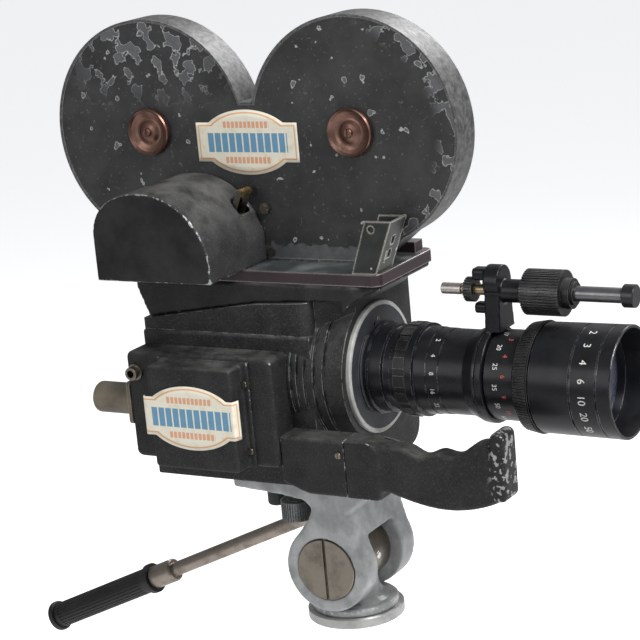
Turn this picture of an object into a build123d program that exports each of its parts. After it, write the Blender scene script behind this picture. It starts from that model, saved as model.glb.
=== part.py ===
from build123d import *
import math
import os

# A 16 mm cine camera with a two-lobed film magazine, a long lens, a finger grip and
# the pan and tilt head it stands on.  Millimetres, +Z up, +X the way the lens looks.
# The origin is the centre of the head's base flange, where a tripod bolts on.

os.makedirs("parts", exist_ok=True)

# ---------------------------------------------------------------- driving dimensions
# Pan and tilt head
FLANGE_R = 37.5
FLANGE_H = 8.0
TRIPOD_THREAD_R = 4.0           # tapping radius of a 3/8 inch tripod thread
TRIPOD_THREAD_DEPTH = 14.0
SPIGOT_R = 11.0
SPIGOT_TOP = 23.0
PIVOT_Z = 49.0                  # tilt axis
EAR_R = 34.2
EAR_OUT = 40.7                  # half width over the two ears
EAR_IN = 20.0                   # half width of the gap between them
DRUM_R = 24.0
TILT_SHAFT_R = 6.0
CAP_R = 24.2
HEAD_PLATE_Z = 120.0            # top of the plate that carries the camera
CAMERA_SCREW_X = -45.0
PAN_BAR_ANGLE = 24.0            # the bar hangs this far below level

# Camera body
REAR_X = -135.0
NEAR_Y = -54.0
FAR_Y = 57.0
DOOR_T = 5.0
NOSE_X = 38.0
LOCATING_X, LOCATING_Y = -70.0, 12.0
LATCH = (16, 190)
WALL = 4.0
LENS_Z = 200.5
LEDGE_Z = 235.0
BOX_NEAR_Y = -79.0
BOX_FRONT_X = -7.5
BOX_LOW_Z = 141.5
BOX_TOP_Z = 224.5

# Magazine
SPINDLE_Z = 380.0
REAR_SPINDLE_X = -135.0
FRONT_SPINDLE_X = 40.0
LOBE_R = 85.0
MAGAZINE_HALF = 14.25
MAGAZINE_BOTTOM = 282.5
PLATE_T = 9.0

# Fits
RUN = 0.05                      # radial clearance of a running fit
GAP = 0.3                       # clearance between pieces of different bodies

NOTCH_X = (REAR_SPINDLE_X + FRONT_SPINDLE_X) / 2
FILM_SLOTS_X = (NOTCH_X - 24.0, NOTCH_X + 24.0)
FILM_SLOT = (4.0, 18.0)
LENS_AXIS = Axis((0, 0, LENS_Z), (1, 0, 0))
LENS_PLANE = Plane(origin=(0, 0, LENS_Z), x_dir=(1, 0, 0), z_dir=(0, -1, 0))


def save(piece, label):
    """Name a finished piece and write it to its own file."""
    piece.part.label = label
    export_step(piece.part, f"parts/{label}.step")


def side_plane(y):
    """A plane that faces the near side: local x runs along +X, local y up."""
    return Plane(origin=(0, y, 0), x_dir=(1, 0, 0), z_dir=(0, -1, 0))


def front_plane(x):
    """A plane that faces forward: local x runs along +Y, local y up."""
    return Plane(origin=(x, 0, 0), x_dir=(0, 1, 0), z_dir=(1, 0, 0))


def turned(plane, axis, outline):
    """A body of revolution from an outline of (along the axis, radius) points."""
    with BuildPart() as piece:
        with BuildSketch(plane):
            with BuildLine():
                Polyline(*outline, close=True)
            make_face()
        revolve(axis=axis)
    return piece


def lens_tube(outline):
    """A body of revolution on the lens axis."""
    return turned(LENS_PLANE, LENS_AXIS, outline)


def cross_axis(x, z):
    """An axis across the camera, pointing to the far side."""
    return Axis((x, 0, z), (0, 1, 0))


def cross_turned(x, z, outline):
    """A body of revolution about an axis across the camera, outline in (y, radius)."""
    plane = Plane(origin=(x, 0, z), x_dir=(0, 1, 0), z_dir=(1, 0, 0))
    return turned(plane, cross_axis(x, z), outline)


def toothed_wheel(radius, teeth, depth):
    """Sketch a wheel whose straight-sided teeth reach the given radius."""
    Circle(radius - depth)
    with PolarLocations(radius - depth / 2, teeth):
        Rectangle(depth * 1.4, math.pi * radius / teeth * 0.8)


# ================================================================ pan and tilt head
upright = Axis((0, 0, 0), (0, 0, 1))
turn_plane = Plane.XZ

base_flange = turned(
    turn_plane,
    upright,
    [
        (0, TRIPOD_THREAD_DEPTH),
        (TRIPOD_THREAD_R, TRIPOD_THREAD_DEPTH),
        (TRIPOD_THREAD_R, 0),
        (FLANGE_R - 0.6, 0),
        (FLANGE_R, 0.6),
        (FLANGE_R, FLANGE_H - 1.0),
        (FLANGE_R - 1.0, FLANGE_H),
        (SPIGOT_R, FLANGE_H),
        (SPIGOT_R, SPIGOT_TOP),
        (0, SPIGOT_TOP),
    ],
)
save(base_flange, "base_flange")

# The turntable carries a block whose top is hollowed to seat the tilt drum.
TABLE_R = 33.5
TABLE_TOP = 13.5
with BuildPart() as turntable:
    with BuildSketch(turn_plane):
        with BuildLine():
            Polyline(
                (0, FLANGE_H + GAP),
                (TABLE_R, FLANGE_H + GAP),
                (TABLE_R, TABLE_TOP - 1.2),
                (TABLE_R - 1.2, TABLE_TOP),
                (27.0, TABLE_TOP),
                (21.5, 17.5),
                (19.0, 24.0),
                (19.0, 40.0),
                (0, 40.0),
                close=True,
            )
        make_face()
    revolve(axis=upright)
    with BuildSketch(side_plane(EAR_IN)):
        with Locations((0, PIVOT_Z)):
            Circle(DRUM_R)
    extrude(amount=2 * EAR_IN, mode=Mode.SUBTRACT)
    with BuildSketch(Plane.XY):
        Circle(SPIGOT_R + RUN)
    extrude(amount=SPIGOT_TOP + GAP, mode=Mode.SUBTRACT)
    with BuildSketch(front_plane(-FLANGE_R)):
        with Locations((0, 26)):
            Rectangle(2 * (EAR_IN - GAP), 24)
        with Locations((0, 7)):
            Rectangle(2 * FLANGE_R, 14)
    extrude(amount=2 * FLANGE_R, mode=Mode.INTERSECT)
save(turntable, "turntable")

with BuildPart() as tilt_drum:
    with BuildSketch(side_plane(EAR_IN - GAP)):
        with Locations((0, PIVOT_Z)):
            Circle(DRUM_R)
            Circle(TILT_SHAFT_R + RUN, mode=Mode.SUBTRACT)
    extrude(amount=2 * (EAR_IN - GAP))
    chamfer(tilt_drum.edges().filter_by(GeomType.CIRCLE).group_by(SortBy.RADIUS)[-1], 0.8)
    with BuildSketch(front_plane(DRUM_R - 4)):
        with Locations((0, PIVOT_Z)):
            Circle(3.2)
    extrude(amount=8, mode=Mode.SUBTRACT)
save(tilt_drum, "tilt_drum")

with BuildPart() as drum_screw:
    with BuildSketch(front_plane(DRUM_R - 4)):
        with Locations((0, PIVOT_Z)):
            Circle(3.2)
    extrude(amount=4.6)
    fillet(drum_screw.edges().filter_by(GeomType.CIRCLE).sort_by(Axis.X)[-1], 1.2)
save(drum_screw, "drum_screw")

# The yoke: two round ears on a necked bridge under a flat plate.
PLATE_REAR = -77.0
PLATE_FRONT = 38.0
NECK_REAR = -8.0
NECK_FRONT = 22.0
BRIDGE_LOW = 77.0
SLOT_TOP = 73.0                 # the gap between the ears opens forwards up to here
PLATE_UNDER = 109.0
with BuildPart() as tilt_yoke:
    with BuildSketch(side_plane(EAR_OUT)):
        with Locations((0, PIVOT_Z)):
            Circle(EAR_R)
        with BuildLine():
            Polyline(
                (-24, PIVOT_Z + 24),
                (NECK_REAR - 4, 88),
                (NECK_REAR, 97),
                (NECK_REAR - 6, 103),
                (-34, PLATE_UNDER - 3),
                (PLATE_REAR, PLATE_UNDER),
                (PLATE_REAR, HEAD_PLATE_Z),
                (PLATE_FRONT, HEAD_PLATE_Z),
                (PLATE_FRONT, PLATE_UNDER),
                (NECK_FRONT, 96),
                (30, 65),
                (0, PIVOT_Z),
                close=True,
            )
        make_face()
    extrude(amount=2 * EAR_OUT)
    with BuildSketch(side_plane(EAR_IN)):
        with Locations((0, PIVOT_Z)):
            Circle(BRIDGE_LOW - PIVOT_Z)
        with Locations((0, PIVOT_Z - 20)):
            Rectangle(2 * EAR_R + 4, 40)
        with Locations((EAR_R / 2 + 4, PIVOT_Z)):
            Rectangle(EAR_R + 8, 2 * (SLOT_TOP - PIVOT_Z))
        with Locations((-EAR_R / 2 - 4, PIVOT_Z)):
            Rectangle(EAR_R + 8, 30)
    extrude(amount=2 * EAR_IN, mode=Mode.SUBTRACT)
    with BuildSketch(side_plane(EAR_OUT)):
        with Locations((0, PIVOT_Z)):
            Circle(TILT_SHAFT_R)
    extrude(amount=2 * EAR_OUT, mode=Mode.SUBTRACT)
    for face_y in (-EAR_OUT, EAR_OUT - 5):
        with BuildSketch(side_plane(face_y + 5)):
            with Locations((0, PIVOT_Z)):
                Circle(CAP_R + 0.15)
        extrude(amount=5, mode=Mode.SUBTRACT)
    with BuildSketch(Plane.XY.offset(HEAD_PLATE_Z)):
        with Locations((CAMERA_SCREW_X, 0)):
            Circle(4.9)
        with Locations((LOCATING_X, LOCATING_Y)):
            Circle(3.1)
    extrude(amount=-20, mode=Mode.SUBTRACT)
    fillet(tilt_yoke.edges().filter_by(Axis.Z).group_by(Axis.X)[0], 5)
# The socket for the pan bar is bored along the bar in the far ear's neck.
BAR_Y = 22.0
BAR_DIR = (-math.cos(math.radians(PAN_BAR_ANGLE)), 0, -math.sin(math.radians(PAN_BAR_ANGLE)))
BAR_ROOT = (-8.0, BAR_Y, 84.0)
BAR_PLANE = Plane(origin=BAR_ROOT, x_dir=(0, 1, 0), z_dir=BAR_DIR)
BAR_R = 5.9
with BuildPart() as yoke_with_socket:
    add(tilt_yoke.part)
    with BuildSketch(BAR_PLANE.offset(-6)):
        Circle(9.5)
    extrude(amount=30)
    with BuildSketch(BAR_PLANE.offset(-2)):
        Circle(BAR_R + RUN)
    extrude(amount=40, mode=Mode.SUBTRACT)
    with BuildSketch(side_plane(EAR_IN)):
        with Locations((0, PIVOT_Z)):
            Circle(BRIDGE_LOW - PIVOT_Z)
    extrude(amount=2 * EAR_IN, mode=Mode.SUBTRACT)
save(yoke_with_socket, "tilt_yoke")

# The tilt pivot: a shaft through both ears with a slotted disc at each end.
with BuildPart() as tilt_pivot:
    with BuildSketch(side_plane(EAR_OUT - 5)):
        with Locations((0, PIVOT_Z)):
            Circle(TILT_SHAFT_R)
    extrude(amount=2 * (EAR_OUT - 5))
    for start_y, outward in ((-EAR_OUT + 5, 1), (EAR_OUT - 5, -1)):
        with BuildSketch(side_plane(start_y)):
            with Locations((0, PIVOT_Z)):
                Circle(CAP_R)
        extrude(amount=5.2 * outward)
    chamfer(tilt_pivot.edges().filter_by(GeomType.CIRCLE).group_by(Axis.Y)[0], 0.6)
    chamfer(tilt_pivot.edges().filter_by(GeomType.CIRCLE).group_by(Axis.Y)[-1], 0.6)
    with BuildSketch(side_plane(EAR_OUT + 1)):
        with Locations((0, PIVOT_Z)):
            Rectangle(2.6, 2 * CAP_R + 2)
    extrude(amount=3.0, mode=Mode.SUBTRACT)
    with BuildSketch(side_plane(-EAR_OUT + 2.0)):
        with Locations((0, PIVOT_Z)):
            Rectangle(2.6, 2 * CAP_R + 2)
    extrude(amount=3.0, mode=Mode.SUBTRACT)
save(tilt_pivot, "tilt_pivot")

# Camera screw with a knurled knob, and the small locating screw beside it.
KNOB_R = 12.8
KNOB_TOP = 88.0
KNOB_LOW = 73.0
with BuildPart() as camera_screw:
    with BuildSketch(Plane.XY.offset(KNOB_LOW)):
        with Locations((CAMERA_SCREW_X, 0)):
            toothed_wheel(KNOB_R, 40, 0.7)
    extrude(amount=KNOB_TOP - KNOB_LOW)
    with BuildSketch(Plane.XY.offset(KNOB_TOP)):
        with Locations((CAMERA_SCREW_X, 0)):
            Circle(7.0)
    extrude(amount=PLATE_UNDER - 4.0 - KNOB_TOP)
    with BuildSketch(Plane.XY.offset(KNOB_TOP)):
        with Locations((CAMERA_SCREW_X, 0)):
            Circle(4.75)
    extrude(amount=HEAD_PLATE_Z + 5 - KNOB_TOP)
save(camera_screw, "camera_screw")

with BuildPart() as locating_screw:
    with BuildSketch(Plane.XY.offset(78)):
        with Locations((LOCATING_X, LOCATING_Y)):
            Circle(8.0)
    extrude(amount=14)
    fillet(locating_screw.edges().filter_by(GeomType.CIRCLE), 2.5)
    with BuildSketch(Plane.XY.offset(90)):
        with Locations((LOCATING_X, LOCATING_Y)):
            Circle(3.0)
    extrude(amount=HEAD_PLATE_Z + 5 - 90)
save(locating_screw, "locating_screw")

# Pan bar: a tube with a turned ferrule, and a ribbed rubber hand grip.
FERRULE_AT = 192.0
GRIP_AT = 216.0
GRIP_END = 334.0
with BuildPart() as pan_bar_tube:
    with BuildSketch(BAR_PLANE):
        Circle(BAR_R)
    extrude(amount=GRIP_AT + 30)
    with BuildSketch(BAR_PLANE.offset(FERRULE_AT)):
        Circle(9.6)
    extrude(amount=GRIP_AT - FERRULE_AT)
    chamfer(pan_bar_tube.edges().filter_by(GeomType.CIRCLE).group_by(SortBy.RADIUS)[-1], 1.2)
save(pan_bar_tube, "pan_bar_tube")

with BuildPart() as pan_bar_grip:
    with BuildSketch(BAR_PLANE.offset(GRIP_AT)):
        Circle(10.6)
    extrude(amount=GRIP_END - GRIP_AT)
    with BuildSketch(BAR_PLANE.offset(GRIP_AT)):
        Circle(12.6)
    extrude(amount=4.0)
    with BuildSketch(BAR_PLANE.offset(GRIP_END - 5)):
        Circle(12.8)
    extrude(amount=5.0)
    fillet(pan_bar_grip.edges().filter_by(GeomType.CIRCLE).group_by(SortBy.RADIUS)[-1], 1.5)
    with BuildSketch(BAR_PLANE.offset(GRIP_AT)):
        Circle(BAR_R)
    extrude(amount=30, mode=Mode.SUBTRACT)
    with BuildSketch(BAR_PLANE.offset(GRIP_AT + 10)):
        with PolarLocations(10.6, 24):
            Circle(0.7)
    extrude(amount=GRIP_END - GRIP_AT - 20, mode=Mode.SUBTRACT)
save(pan_bar_grip, "pan_bar_grip")

# ================================================================ camera body
BODY_LOW = HEAD_PLATE_Z
TOP_REAR = 243.0
TOP_MID = (-35.0, 258.0)
TOP_FRONT = 261.0
UPPER_NEAR_Y = NEAR_Y + 2.5


# ribs of the nose and the grooves between them: start, end, radius about the lens
NOSE_STEPS = (
    (BOX_FRONT_X, -4.5, 58.9),
    (-4.5, -3.0, 57.0),
    (-3.0, 0.5, 58.5),
    (0.5, 2.0, 56.5),
    (2.0, 6.5, 58.0),
    (6.5, 8.0, 55.9),
    (8.0, 14.0, 57.3),
    (14.0, 15.6, 55.1),
    (15.6, 21.8, 56.5),
    (21.8, 23.4, 54.2),
    (23.4, NOSE_X, 55.6),
)
SHOULDER_R = 8.0

with BuildPart() as body_housing:
    # lower block, as deep as the side box wants it
    with BuildSketch(side_plane(FAR_Y)):
        with BuildLine():
            Polyline(
                (REAR_X, BODY_LOW),
                (12, BODY_LOW),
                (12, LEDGE_Z),
                (REAR_X, LEDGE_Z),
                close=True,
            )
        make_face()
    extrude(amount=FAR_Y - NEAR_Y)
    fillet(body_housing.edges().filter_by(Axis.X).group_by(Axis.Y)[0].sort_by(Axis.Z)[-1], 2.2)
    # upper block, set back above the ledge and falling towards the rear
    with BuildSketch(side_plane(FAR_Y)):
        with BuildLine():
            Polyline(
                (REAR_X, LEDGE_Z - 10),
                (12, LEDGE_Z - 10),
                (12, TOP_FRONT - 0.5),
                TOP_MID,
                (REAR_X, TOP_REAR),
                close=True,
            )
        make_face()
    extrude(amount=FAR_Y - UPPER_NEAR_Y)
    upright = body_housing.edges().filter_by(Axis.Z).filter_by_position(Axis.X, 11.9, 12.1)
    fillet(upright.filter_by_position(Axis.Y, UPPER_NEAR_Y - 0.1, UPPER_NEAR_Y + 0.1), SHOULDER_R)
    # ribs that bring the square body down to the round nose
    # round towards the near side about the lens axis, square towards the far side
    for x_start, x_end, radius in NOSE_STEPS:
        low = LENS_Z - radius
        with BuildSketch(front_plane(x_start)):
            with BuildLine():
                Line((0, low), (FAR_Y - 16, BODY_LOW + 6))
                RadiusArc((FAR_Y - 16, BODY_LOW + 6), (FAR_Y, BODY_LOW + 22), -16)
                Line((FAR_Y, BODY_LOW + 22), (FAR_Y, LENS_Z + radius))
                Line((FAR_Y, LENS_Z + radius), (0, LENS_Z + radius))
                ThreePointArc((0, LENS_Z + radius), (-radius, LENS_Z), (0, low))
            make_face()
        extrude(amount=x_end - x_start)
    # top of the nose, under the saddle
    with BuildSketch(Plane.XY.offset(LENS_Z)):
        with BuildLine():
            Polyline((-4, UPPER_NEAR_Y), (NOSE_X, -27), (NOSE_X, FAR_Y), (-4, FAR_Y), close=True)
        make_face()
    extrude(amount=TOP_FRONT - 1.4 - LENS_Z)
    with BuildSketch(Plane.XY.offset(LENS_Z)):
        with BuildLine():
            Polyline((12, -40), (NOSE_X, -27), (NOSE_X, FAR_Y), (12, FAR_Y), close=True)
        make_face()
    extrude(amount=TOP_FRONT - LENS_Z)
    fillet(body_housing.edges().filter_by(Axis.Z).group_by(Axis.X)[0], 3)
    # the inside, open to the far side for the film door
    with BuildSketch(side_plane(FAR_Y)):
        with BuildLine():
            Polyline(
                (REAR_X + WALL, BODY_LOW + 8),
                (NOSE_X - WALL, BODY_LOW + 16),
                (NOSE_X - WALL, LENS_Z + 52),
                (REAR_X + WALL, TOP_REAR - 6),
                close=True,
            )
        make_face()
    extrude(amount=FAR_Y, mode=Mode.SUBTRACT)
    with BuildSketch(side_plane(0)):
        with BuildLine():
            Polyline(
                (REAR_X + WALL, BODY_LOW + 8),
                (6, BODY_LOW + 8),
                (6, LENS_Z + 40),
                (REAR_X + WALL, TOP_REAR - 6),
                close=True,
            )
        make_face()
    extrude(amount=-NEAR_Y - WALL - 2, mode=Mode.SUBTRACT)
    with BuildSketch(front_plane(4)):
        with Locations((0, LENS_Z)):
            Circle(47.0)
    extrude(amount=NOSE_X - WALL - 4, mode=Mode.SUBTRACT)
    # the seat of the lens board and the light passage behind it
    with BuildSketch(front_plane(NOSE_X - 1.0)):
        with Locations((0, LENS_Z)):
            Circle(49.8)
    extrude(amount=2, mode=Mode.SUBTRACT)
    with BuildSketch(front_plane(NOSE_X - WALL - 1)):
        with Locations((0, LENS_Z)):
            Circle(30.0)
    extrude(amount=WALL + 2, mode=Mode.SUBTRACT)
    # film passages up to the magazine, and the threads of the two base screws
    with BuildSketch(Plane.XY.offset(TOP_REAR - 12)):
        with Locations(*[(x, 0) for x in FILM_SLOTS_X]):
            Rectangle(*FILM_SLOT)
    extrude(amount=30, mode=Mode.SUBTRACT)
    with BuildSketch(Plane.XY.offset(BODY_LOW)):
        with Locations((CAMERA_SCREW_X, 0)):
            Circle(4.8)
        with Locations((LOCATING_X, LOCATING_Y)):
            Circle(3.05)
    extrude(amount=6, mode=Mode.SUBTRACT)

# The film door covers the open far side and swings on a pin at the rear edge.
HINGE = (REAR_X - 3.5, FAR_Y + 3.2)
KNUCKLE_R = 3.0
HINGE_PIN_R = 1.5
DOOR_NEAR_Y = FAR_Y + GAP
DOOR_KNUCKLES = ((163.0, 50.0),)
BODY_KNUCKLES = ((150.0, 12.6), (213.4, 12.6))
with BuildPart() as housing_with_hinge:
    add(body_housing.part)
    for low_z, height in BODY_KNUCKLES:
        with BuildSketch(Plane.XY.offset(low_z)):
            with Locations(HINGE):
                Circle(KNUCKLE_R)
            with Locations(((HINGE[0] + REAR_X) / 2 - 1, FAR_Y - 0.5)):
                Rectangle(9.5, 7)
        extrude(amount=height)
    with BuildSketch(Plane.XY.offset(140)):
        with Locations(HINGE):
            Circle(HINGE_PIN_R)
    extrude(amount=100, mode=Mode.SUBTRACT)
save(housing_with_hinge, "body_housing")

with BuildPart() as film_door:
    with BuildSketch(side_plane(DOOR_NEAR_Y + DOOR_T)):
        with BuildLine():
            Polyline(
                (REAR_X + 3, BODY_LOW + 3),
                (NOSE_X - 4, BODY_LOW + 10),
                (NOSE_X - 4, LENS_Z + 54),
                (TOP_MID[0], TOP_MID[1] - 4),
                (REAR_X + 3, TOP_REAR - 4),
                close=True,
            )
        make_face()
    extrude(amount=DOOR_T)
    fillet(film_door.edges().filter_by(Axis.Y), 4)
    for low_z, height in DOOR_KNUCKLES:
        with BuildSketch(Plane.XY.offset(low_z)):
            with Locations(HINGE):
                Circle(KNUCKLE_R)
            with Locations((HINGE[0] + 5, DOOR_NEAR_Y + DOOR_T / 2)):
                Rectangle(10, DOOR_T)
        extrude(amount=height)
    with BuildSketch(Plane.XY.offset(140)):
        with Locations(HINGE):
            Circle(HINGE_PIN_R + RUN)
    extrude(amount=100, mode=Mode.SUBTRACT)
    with BuildSketch(side_plane(DOOR_NEAR_Y + DOOR_T)):
        with Locations(LATCH):
            Circle(3.0 + RUN)
    extrude(amount=DOOR_T, mode=Mode.SUBTRACT)
    fillet(film_door.faces().sort_by(Axis.Y)[-1].edges().filter_by(GeomType.LINE).filter_by(Axis.X), 1)
save(film_door, "film_door")

with BuildPart() as door_hinge_pin:
    with BuildSketch(Plane.XY.offset(149)):
        with Locations(HINGE):
            Circle(HINGE_PIN_R)
    extrude(amount=78)
    with BuildSketch(Plane.XY.offset(BODY_KNUCKLES[1][0] + BODY_KNUCKLES[1][1])):
        with Locations(HINGE):
            Circle(2.4)
    extrude(amount=1.4)
save(door_hinge_pin, "door_hinge_pin")

with BuildPart() as door_latch:
    with BuildSketch(side_plane(DOOR_NEAR_Y + DOOR_T + 1)):
        with Locations(LATCH):
            Circle(3.0)
    extrude(amount=DOOR_T)
    with BuildSketch(side_plane(DOOR_NEAR_Y + DOOR_T + 3.3)):
        with Locations(LATCH):
            Circle(10)
    extrude(amount=3.0)
    with BuildSketch(side_plane(DOOR_NEAR_Y + DOOR_T + 7)):
        with Locations(LATCH):
            SlotOverall(18, 5)
    extrude(amount=4.5)
    chamfer(door_latch.edges().filter_by(GeomType.CIRCLE).group_by(SortBy.RADIUS)[-1], 0.6)
save(door_latch, "door_latch")

# Cream ring and grey board that close the nose around the lens.
RING_FRONT = NOSE_X + 3.0
front_ring = lens_tube(
    [
        (NOSE_X - 1, 46.5),
        (NOSE_X - 1, 49.7),
        (RING_FRONT - 0.6, 49.7),
        (RING_FRONT, 49.1),
        (RING_FRONT, 46.5),
    ]
)
save(front_ring, "front_ring")

BOARD_FRONT = RING_FRONT + 0.2
BOSS_FRONT = BOARD_FRONT + 1.8
BOARD_SCREWS = ((-6.0, 34.5), (0.5, 37.0), (-6.0, -33.0))
with BuildPart() as lens_board:
    with BuildSketch(front_plane(NOSE_X - 1)):
        with Locations((0, LENS_Z)):
            Circle(46.4)
    extrude(amount=BOARD_FRONT - NOSE_X + 1)
    with BuildSketch(front_plane(BOARD_FRONT)):
        with Locations((0, LENS_Z)):
            Circle(36.5)
        with Locations((0, LENS_Z + 1)):
            Rectangle(80, 55, mode=Mode.INTERSECT)
    extrude(amount=BOSS_FRONT - BOARD_FRONT)
    with BuildSketch(front_plane(NOSE_X - 1)):
        with Locations((0, LENS_Z)):
            Circle(25)
    extrude(amount=10, mode=Mode.SUBTRACT)
    with BuildSketch(front_plane(NOSE_X - 1)):
        with Locations(*[(y, LENS_Z + z) for y, z in BOARD_SCREWS]):
            Circle(2.0)
    extrude(amount=10, mode=Mode.SUBTRACT)
save(lens_board, "lens_board")

# ---------------------------------------------------------------- side box
BOX_WALL = 3.0
with BuildPart() as side_box:
    with BuildSketch(side_plane(NEAR_Y)):
        with BuildLine():
            Polyline(
                (REAR_X, BOX_LOW_Z),
                (BOX_FRONT_X, BOX_LOW_Z),
                (BOX_FRONT_X, BOX_TOP_Z),
                (REAR_X, BOX_TOP_Z),
                close=True,
            )
        make_face()
    extrude(amount=NEAR_Y - BOX_NEAR_Y)
    fillet(side_box.edges().filter_by(Axis.Y), 5.0)
    fillet(side_box.faces().sort_by(Axis.Y)[0].edges(), 3.0)
    with BuildSketch(side_plane(NEAR_Y)):
        with Locations(((REAR_X + BOX_FRONT_X) / 2, (BOX_LOW_Z + BOX_TOP_Z) / 2)):
            Rectangle(BOX_FRONT_X - REAR_X - 2 * BOX_WALL, BOX_TOP_Z - BOX_LOW_Z - 2 * BOX_WALL)
    extrude(amount=NEAR_Y - BOX_NEAR_Y - BOX_WALL, mode=Mode.SUBTRACT)
save(side_box, "side_box")

COVER_REAR = -105.0
COVER_FRONT = -31.5
COVER_FLANGE_FRONT = -26.0
COVER_TOP = 220.0
COVER_NEAR_Y = -97.0
COVER_FLANGE_T = 2.5
COVER_SCREWS = ((-29.0, 206.0), (-29.0, 154.5))
with BuildPart() as box_cover:
    with BuildSketch(side_plane(BOX_NEAR_Y)):
        with Locations(((COVER_REAR + COVER_FRONT) / 2, (BOX_LOW_Z + COVER_TOP) / 2)):
            Rectangle(COVER_FRONT - COVER_REAR, COVER_TOP - BOX_LOW_Z)
    extrude(amount=BOX_NEAR_Y - COVER_NEAR_Y)
    fillet(box_cover.edges().filter_by(Axis.Y), 2.5)
    fillet(box_cover.faces().sort_by(Axis.Y)[0].edges(), 1.8)
    with BuildSketch(side_plane(BOX_NEAR_Y)):
        with Locations(((COVER_REAR + COVER_FLANGE_FRONT) / 2, (BOX_LOW_Z + COVER_TOP) / 2 + 1)):
            Rectangle(COVER_FLANGE_FRONT - COVER_REAR, COVER_TOP - BOX_LOW_Z + 2)
    extrude(amount=COVER_FLANGE_T)
    with BuildSketch(side_plane(BOX_NEAR_Y)):
        with Locations(((COVER_REAR + COVER_FRONT) / 2, (BOX_LOW_Z + COVER_TOP) / 2)):
            Rectangle(COVER_FRONT - COVER_REAR - 4, COVER_TOP - BOX_LOW_Z - 4)
    extrude(amount=BOX_NEAR_Y - COVER_NEAR_Y - 2, mode=Mode.SUBTRACT)
save(box_cover, "box_cover")

SOCKET_X, SOCKET_Z = -126.5, 209.0
box_socket = turned(
    Plane(origin=(SOCKET_X, 0, SOCKET_Z), x_dir=(0, 1, 0), z_dir=(1, 0, 0)),
    cross_axis(SOCKET_X, SOCKET_Z),
    [(BOX_NEAR_Y, 3.0), (BOX_NEAR_Y, 6.2), (-81.2, 6.2), (-81.2, 5.0), (-86.6, 5.0), (-87.0, 4.6), (-87.0, 3.0)],
)
save(box_socket, "box_socket")

CONNECTOR_Y, CONNECTOR_Z = -66.5, 183.0
with BuildPart() as rear_connector:
    with BuildSketch(front_plane(REAR_X)):
        with Locations((CONNECTOR_Y, CONNECTOR_Z)):
            RectangleRounded(24.5, 33, 3)
    extrude(amount=-3)
    with BuildSketch(front_plane(REAR_X - 3)):
        with Locations((CONNECTOR_Y, CONNECTOR_Z)):
            Circle(12.0)
    extrude(amount=-34)
    fillet(rear_connector.edges().filter_by(GeomType.CIRCLE).sort_by(Axis.X)[0], 3.0)
    with BuildSketch(front_plane(REAR_X - 37)):
        with Locations((CONNECTOR_Y, CONNECTOR_Z)):
            Circle(8.5)
    extrude(amount=12, mode=Mode.SUBTRACT)
    with BuildSketch(front_plane(REAR_X - 25)):
        with Locations((CONNECTOR_Y, CONNECTOR_Z)):
            with PolarLocations(5.2, 6):
                Circle(1.0)
    extrude(amount=-8)
save(rear_connector, "rear_connector")

# ---------------------------------------------------------------- mechanism inside
MOTOR_X, MOTOR_Z = -95.0, 160.0
MESH_ANGLE = math.degrees(math.atan2(24, 32))
WHEEL_TEETH, PINION_TEETH = 64, 16
WHEEL_PITCH_R, PINION_PITCH_R = 32.0, 8.0
SPROCKET_X, SPROCKET_Z = MOTOR_X + 32.0, MOTOR_Z + 24.0
TOOTH_Y = 7.0
SPROCKET_TEETH = 12
MECH_NEAR_Y, MECH_FAR_Y = -12.0, -8.0
SHUTTER_Y, SHUTTER_Z = 16.0, 180.5
POST_ANGLES = (150, 230, 310)
POST_RING_R = 14.5

with BuildPart() as mechanism_plate:
    with BuildSketch(side_plane(MECH_FAR_Y)):
        with Locations(((REAR_X + WALL + 6) / 2, 182)):
            Rectangle(6 - REAR_X - WALL, 108)
    extrude(amount=MECH_FAR_Y - MECH_NEAR_Y)
    with BuildSketch(side_plane(MECH_FAR_Y)):
        with Locations((MOTOR_X, MOTOR_Z)):
            Circle(4)
        with Locations((SPROCKET_X, SPROCKET_Z)):
            Circle(3.0 + RUN)
    extrude(amount=10, mode=Mode.SUBTRACT)
save(mechanism_plate, "mechanism_plate")

with BuildPart() as drive_motor:
    with BuildSketch(side_plane(-22.0)):
        with Locations((MOTOR_X, MOTOR_Z)):
            Circle(20)
    extrude(amount=24)
    chamfer(drive_motor.edges().filter_by(GeomType.CIRCLE), 1.5)
    with BuildSketch(side_plane(MECH_NEAR_Y)):
        for angle in POST_ANGLES:
            turn = math.radians(angle)
            with Locations((MOTOR_X + POST_RING_R * math.cos(turn), MOTOR_Z + POST_RING_R * math.sin(turn))):
                Circle(2.5)
    extrude(amount=12)
    with BuildSketch(side_plane(-22.0)):
        with Locations((MOTOR_X, MOTOR_Z)):
            Circle(2.5 + RUN)
    extrude(amount=12, mode=Mode.SUBTRACT)
save(drive_motor, "drive_motor")


def gear_outline(pitch_radius, teeth, start_angle):
    """Sketch a spur wheel with plain narrow teeth about the local origin."""
    Circle(pitch_radius - 1.3)
    with PolarLocations(pitch_radius - 0.3, teeth, start_angle=start_angle):
        Rectangle(2.2, 1.1)


with BuildPart() as motor_pinion:
    with BuildSketch(side_plane(-13.5)):
        with Locations((MOTOR_X, MOTOR_Z)):
            gear_outline(PINION_PITCH_R, PINION_TEETH, MESH_ANGLE)
    extrude(amount=6.5)
    with BuildSketch(side_plane(-13.5)):
        with Locations((MOTOR_X, MOTOR_Z)):
            Circle(2.5)
    extrude(amount=18)
save(motor_pinion, "motor_pinion")

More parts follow.
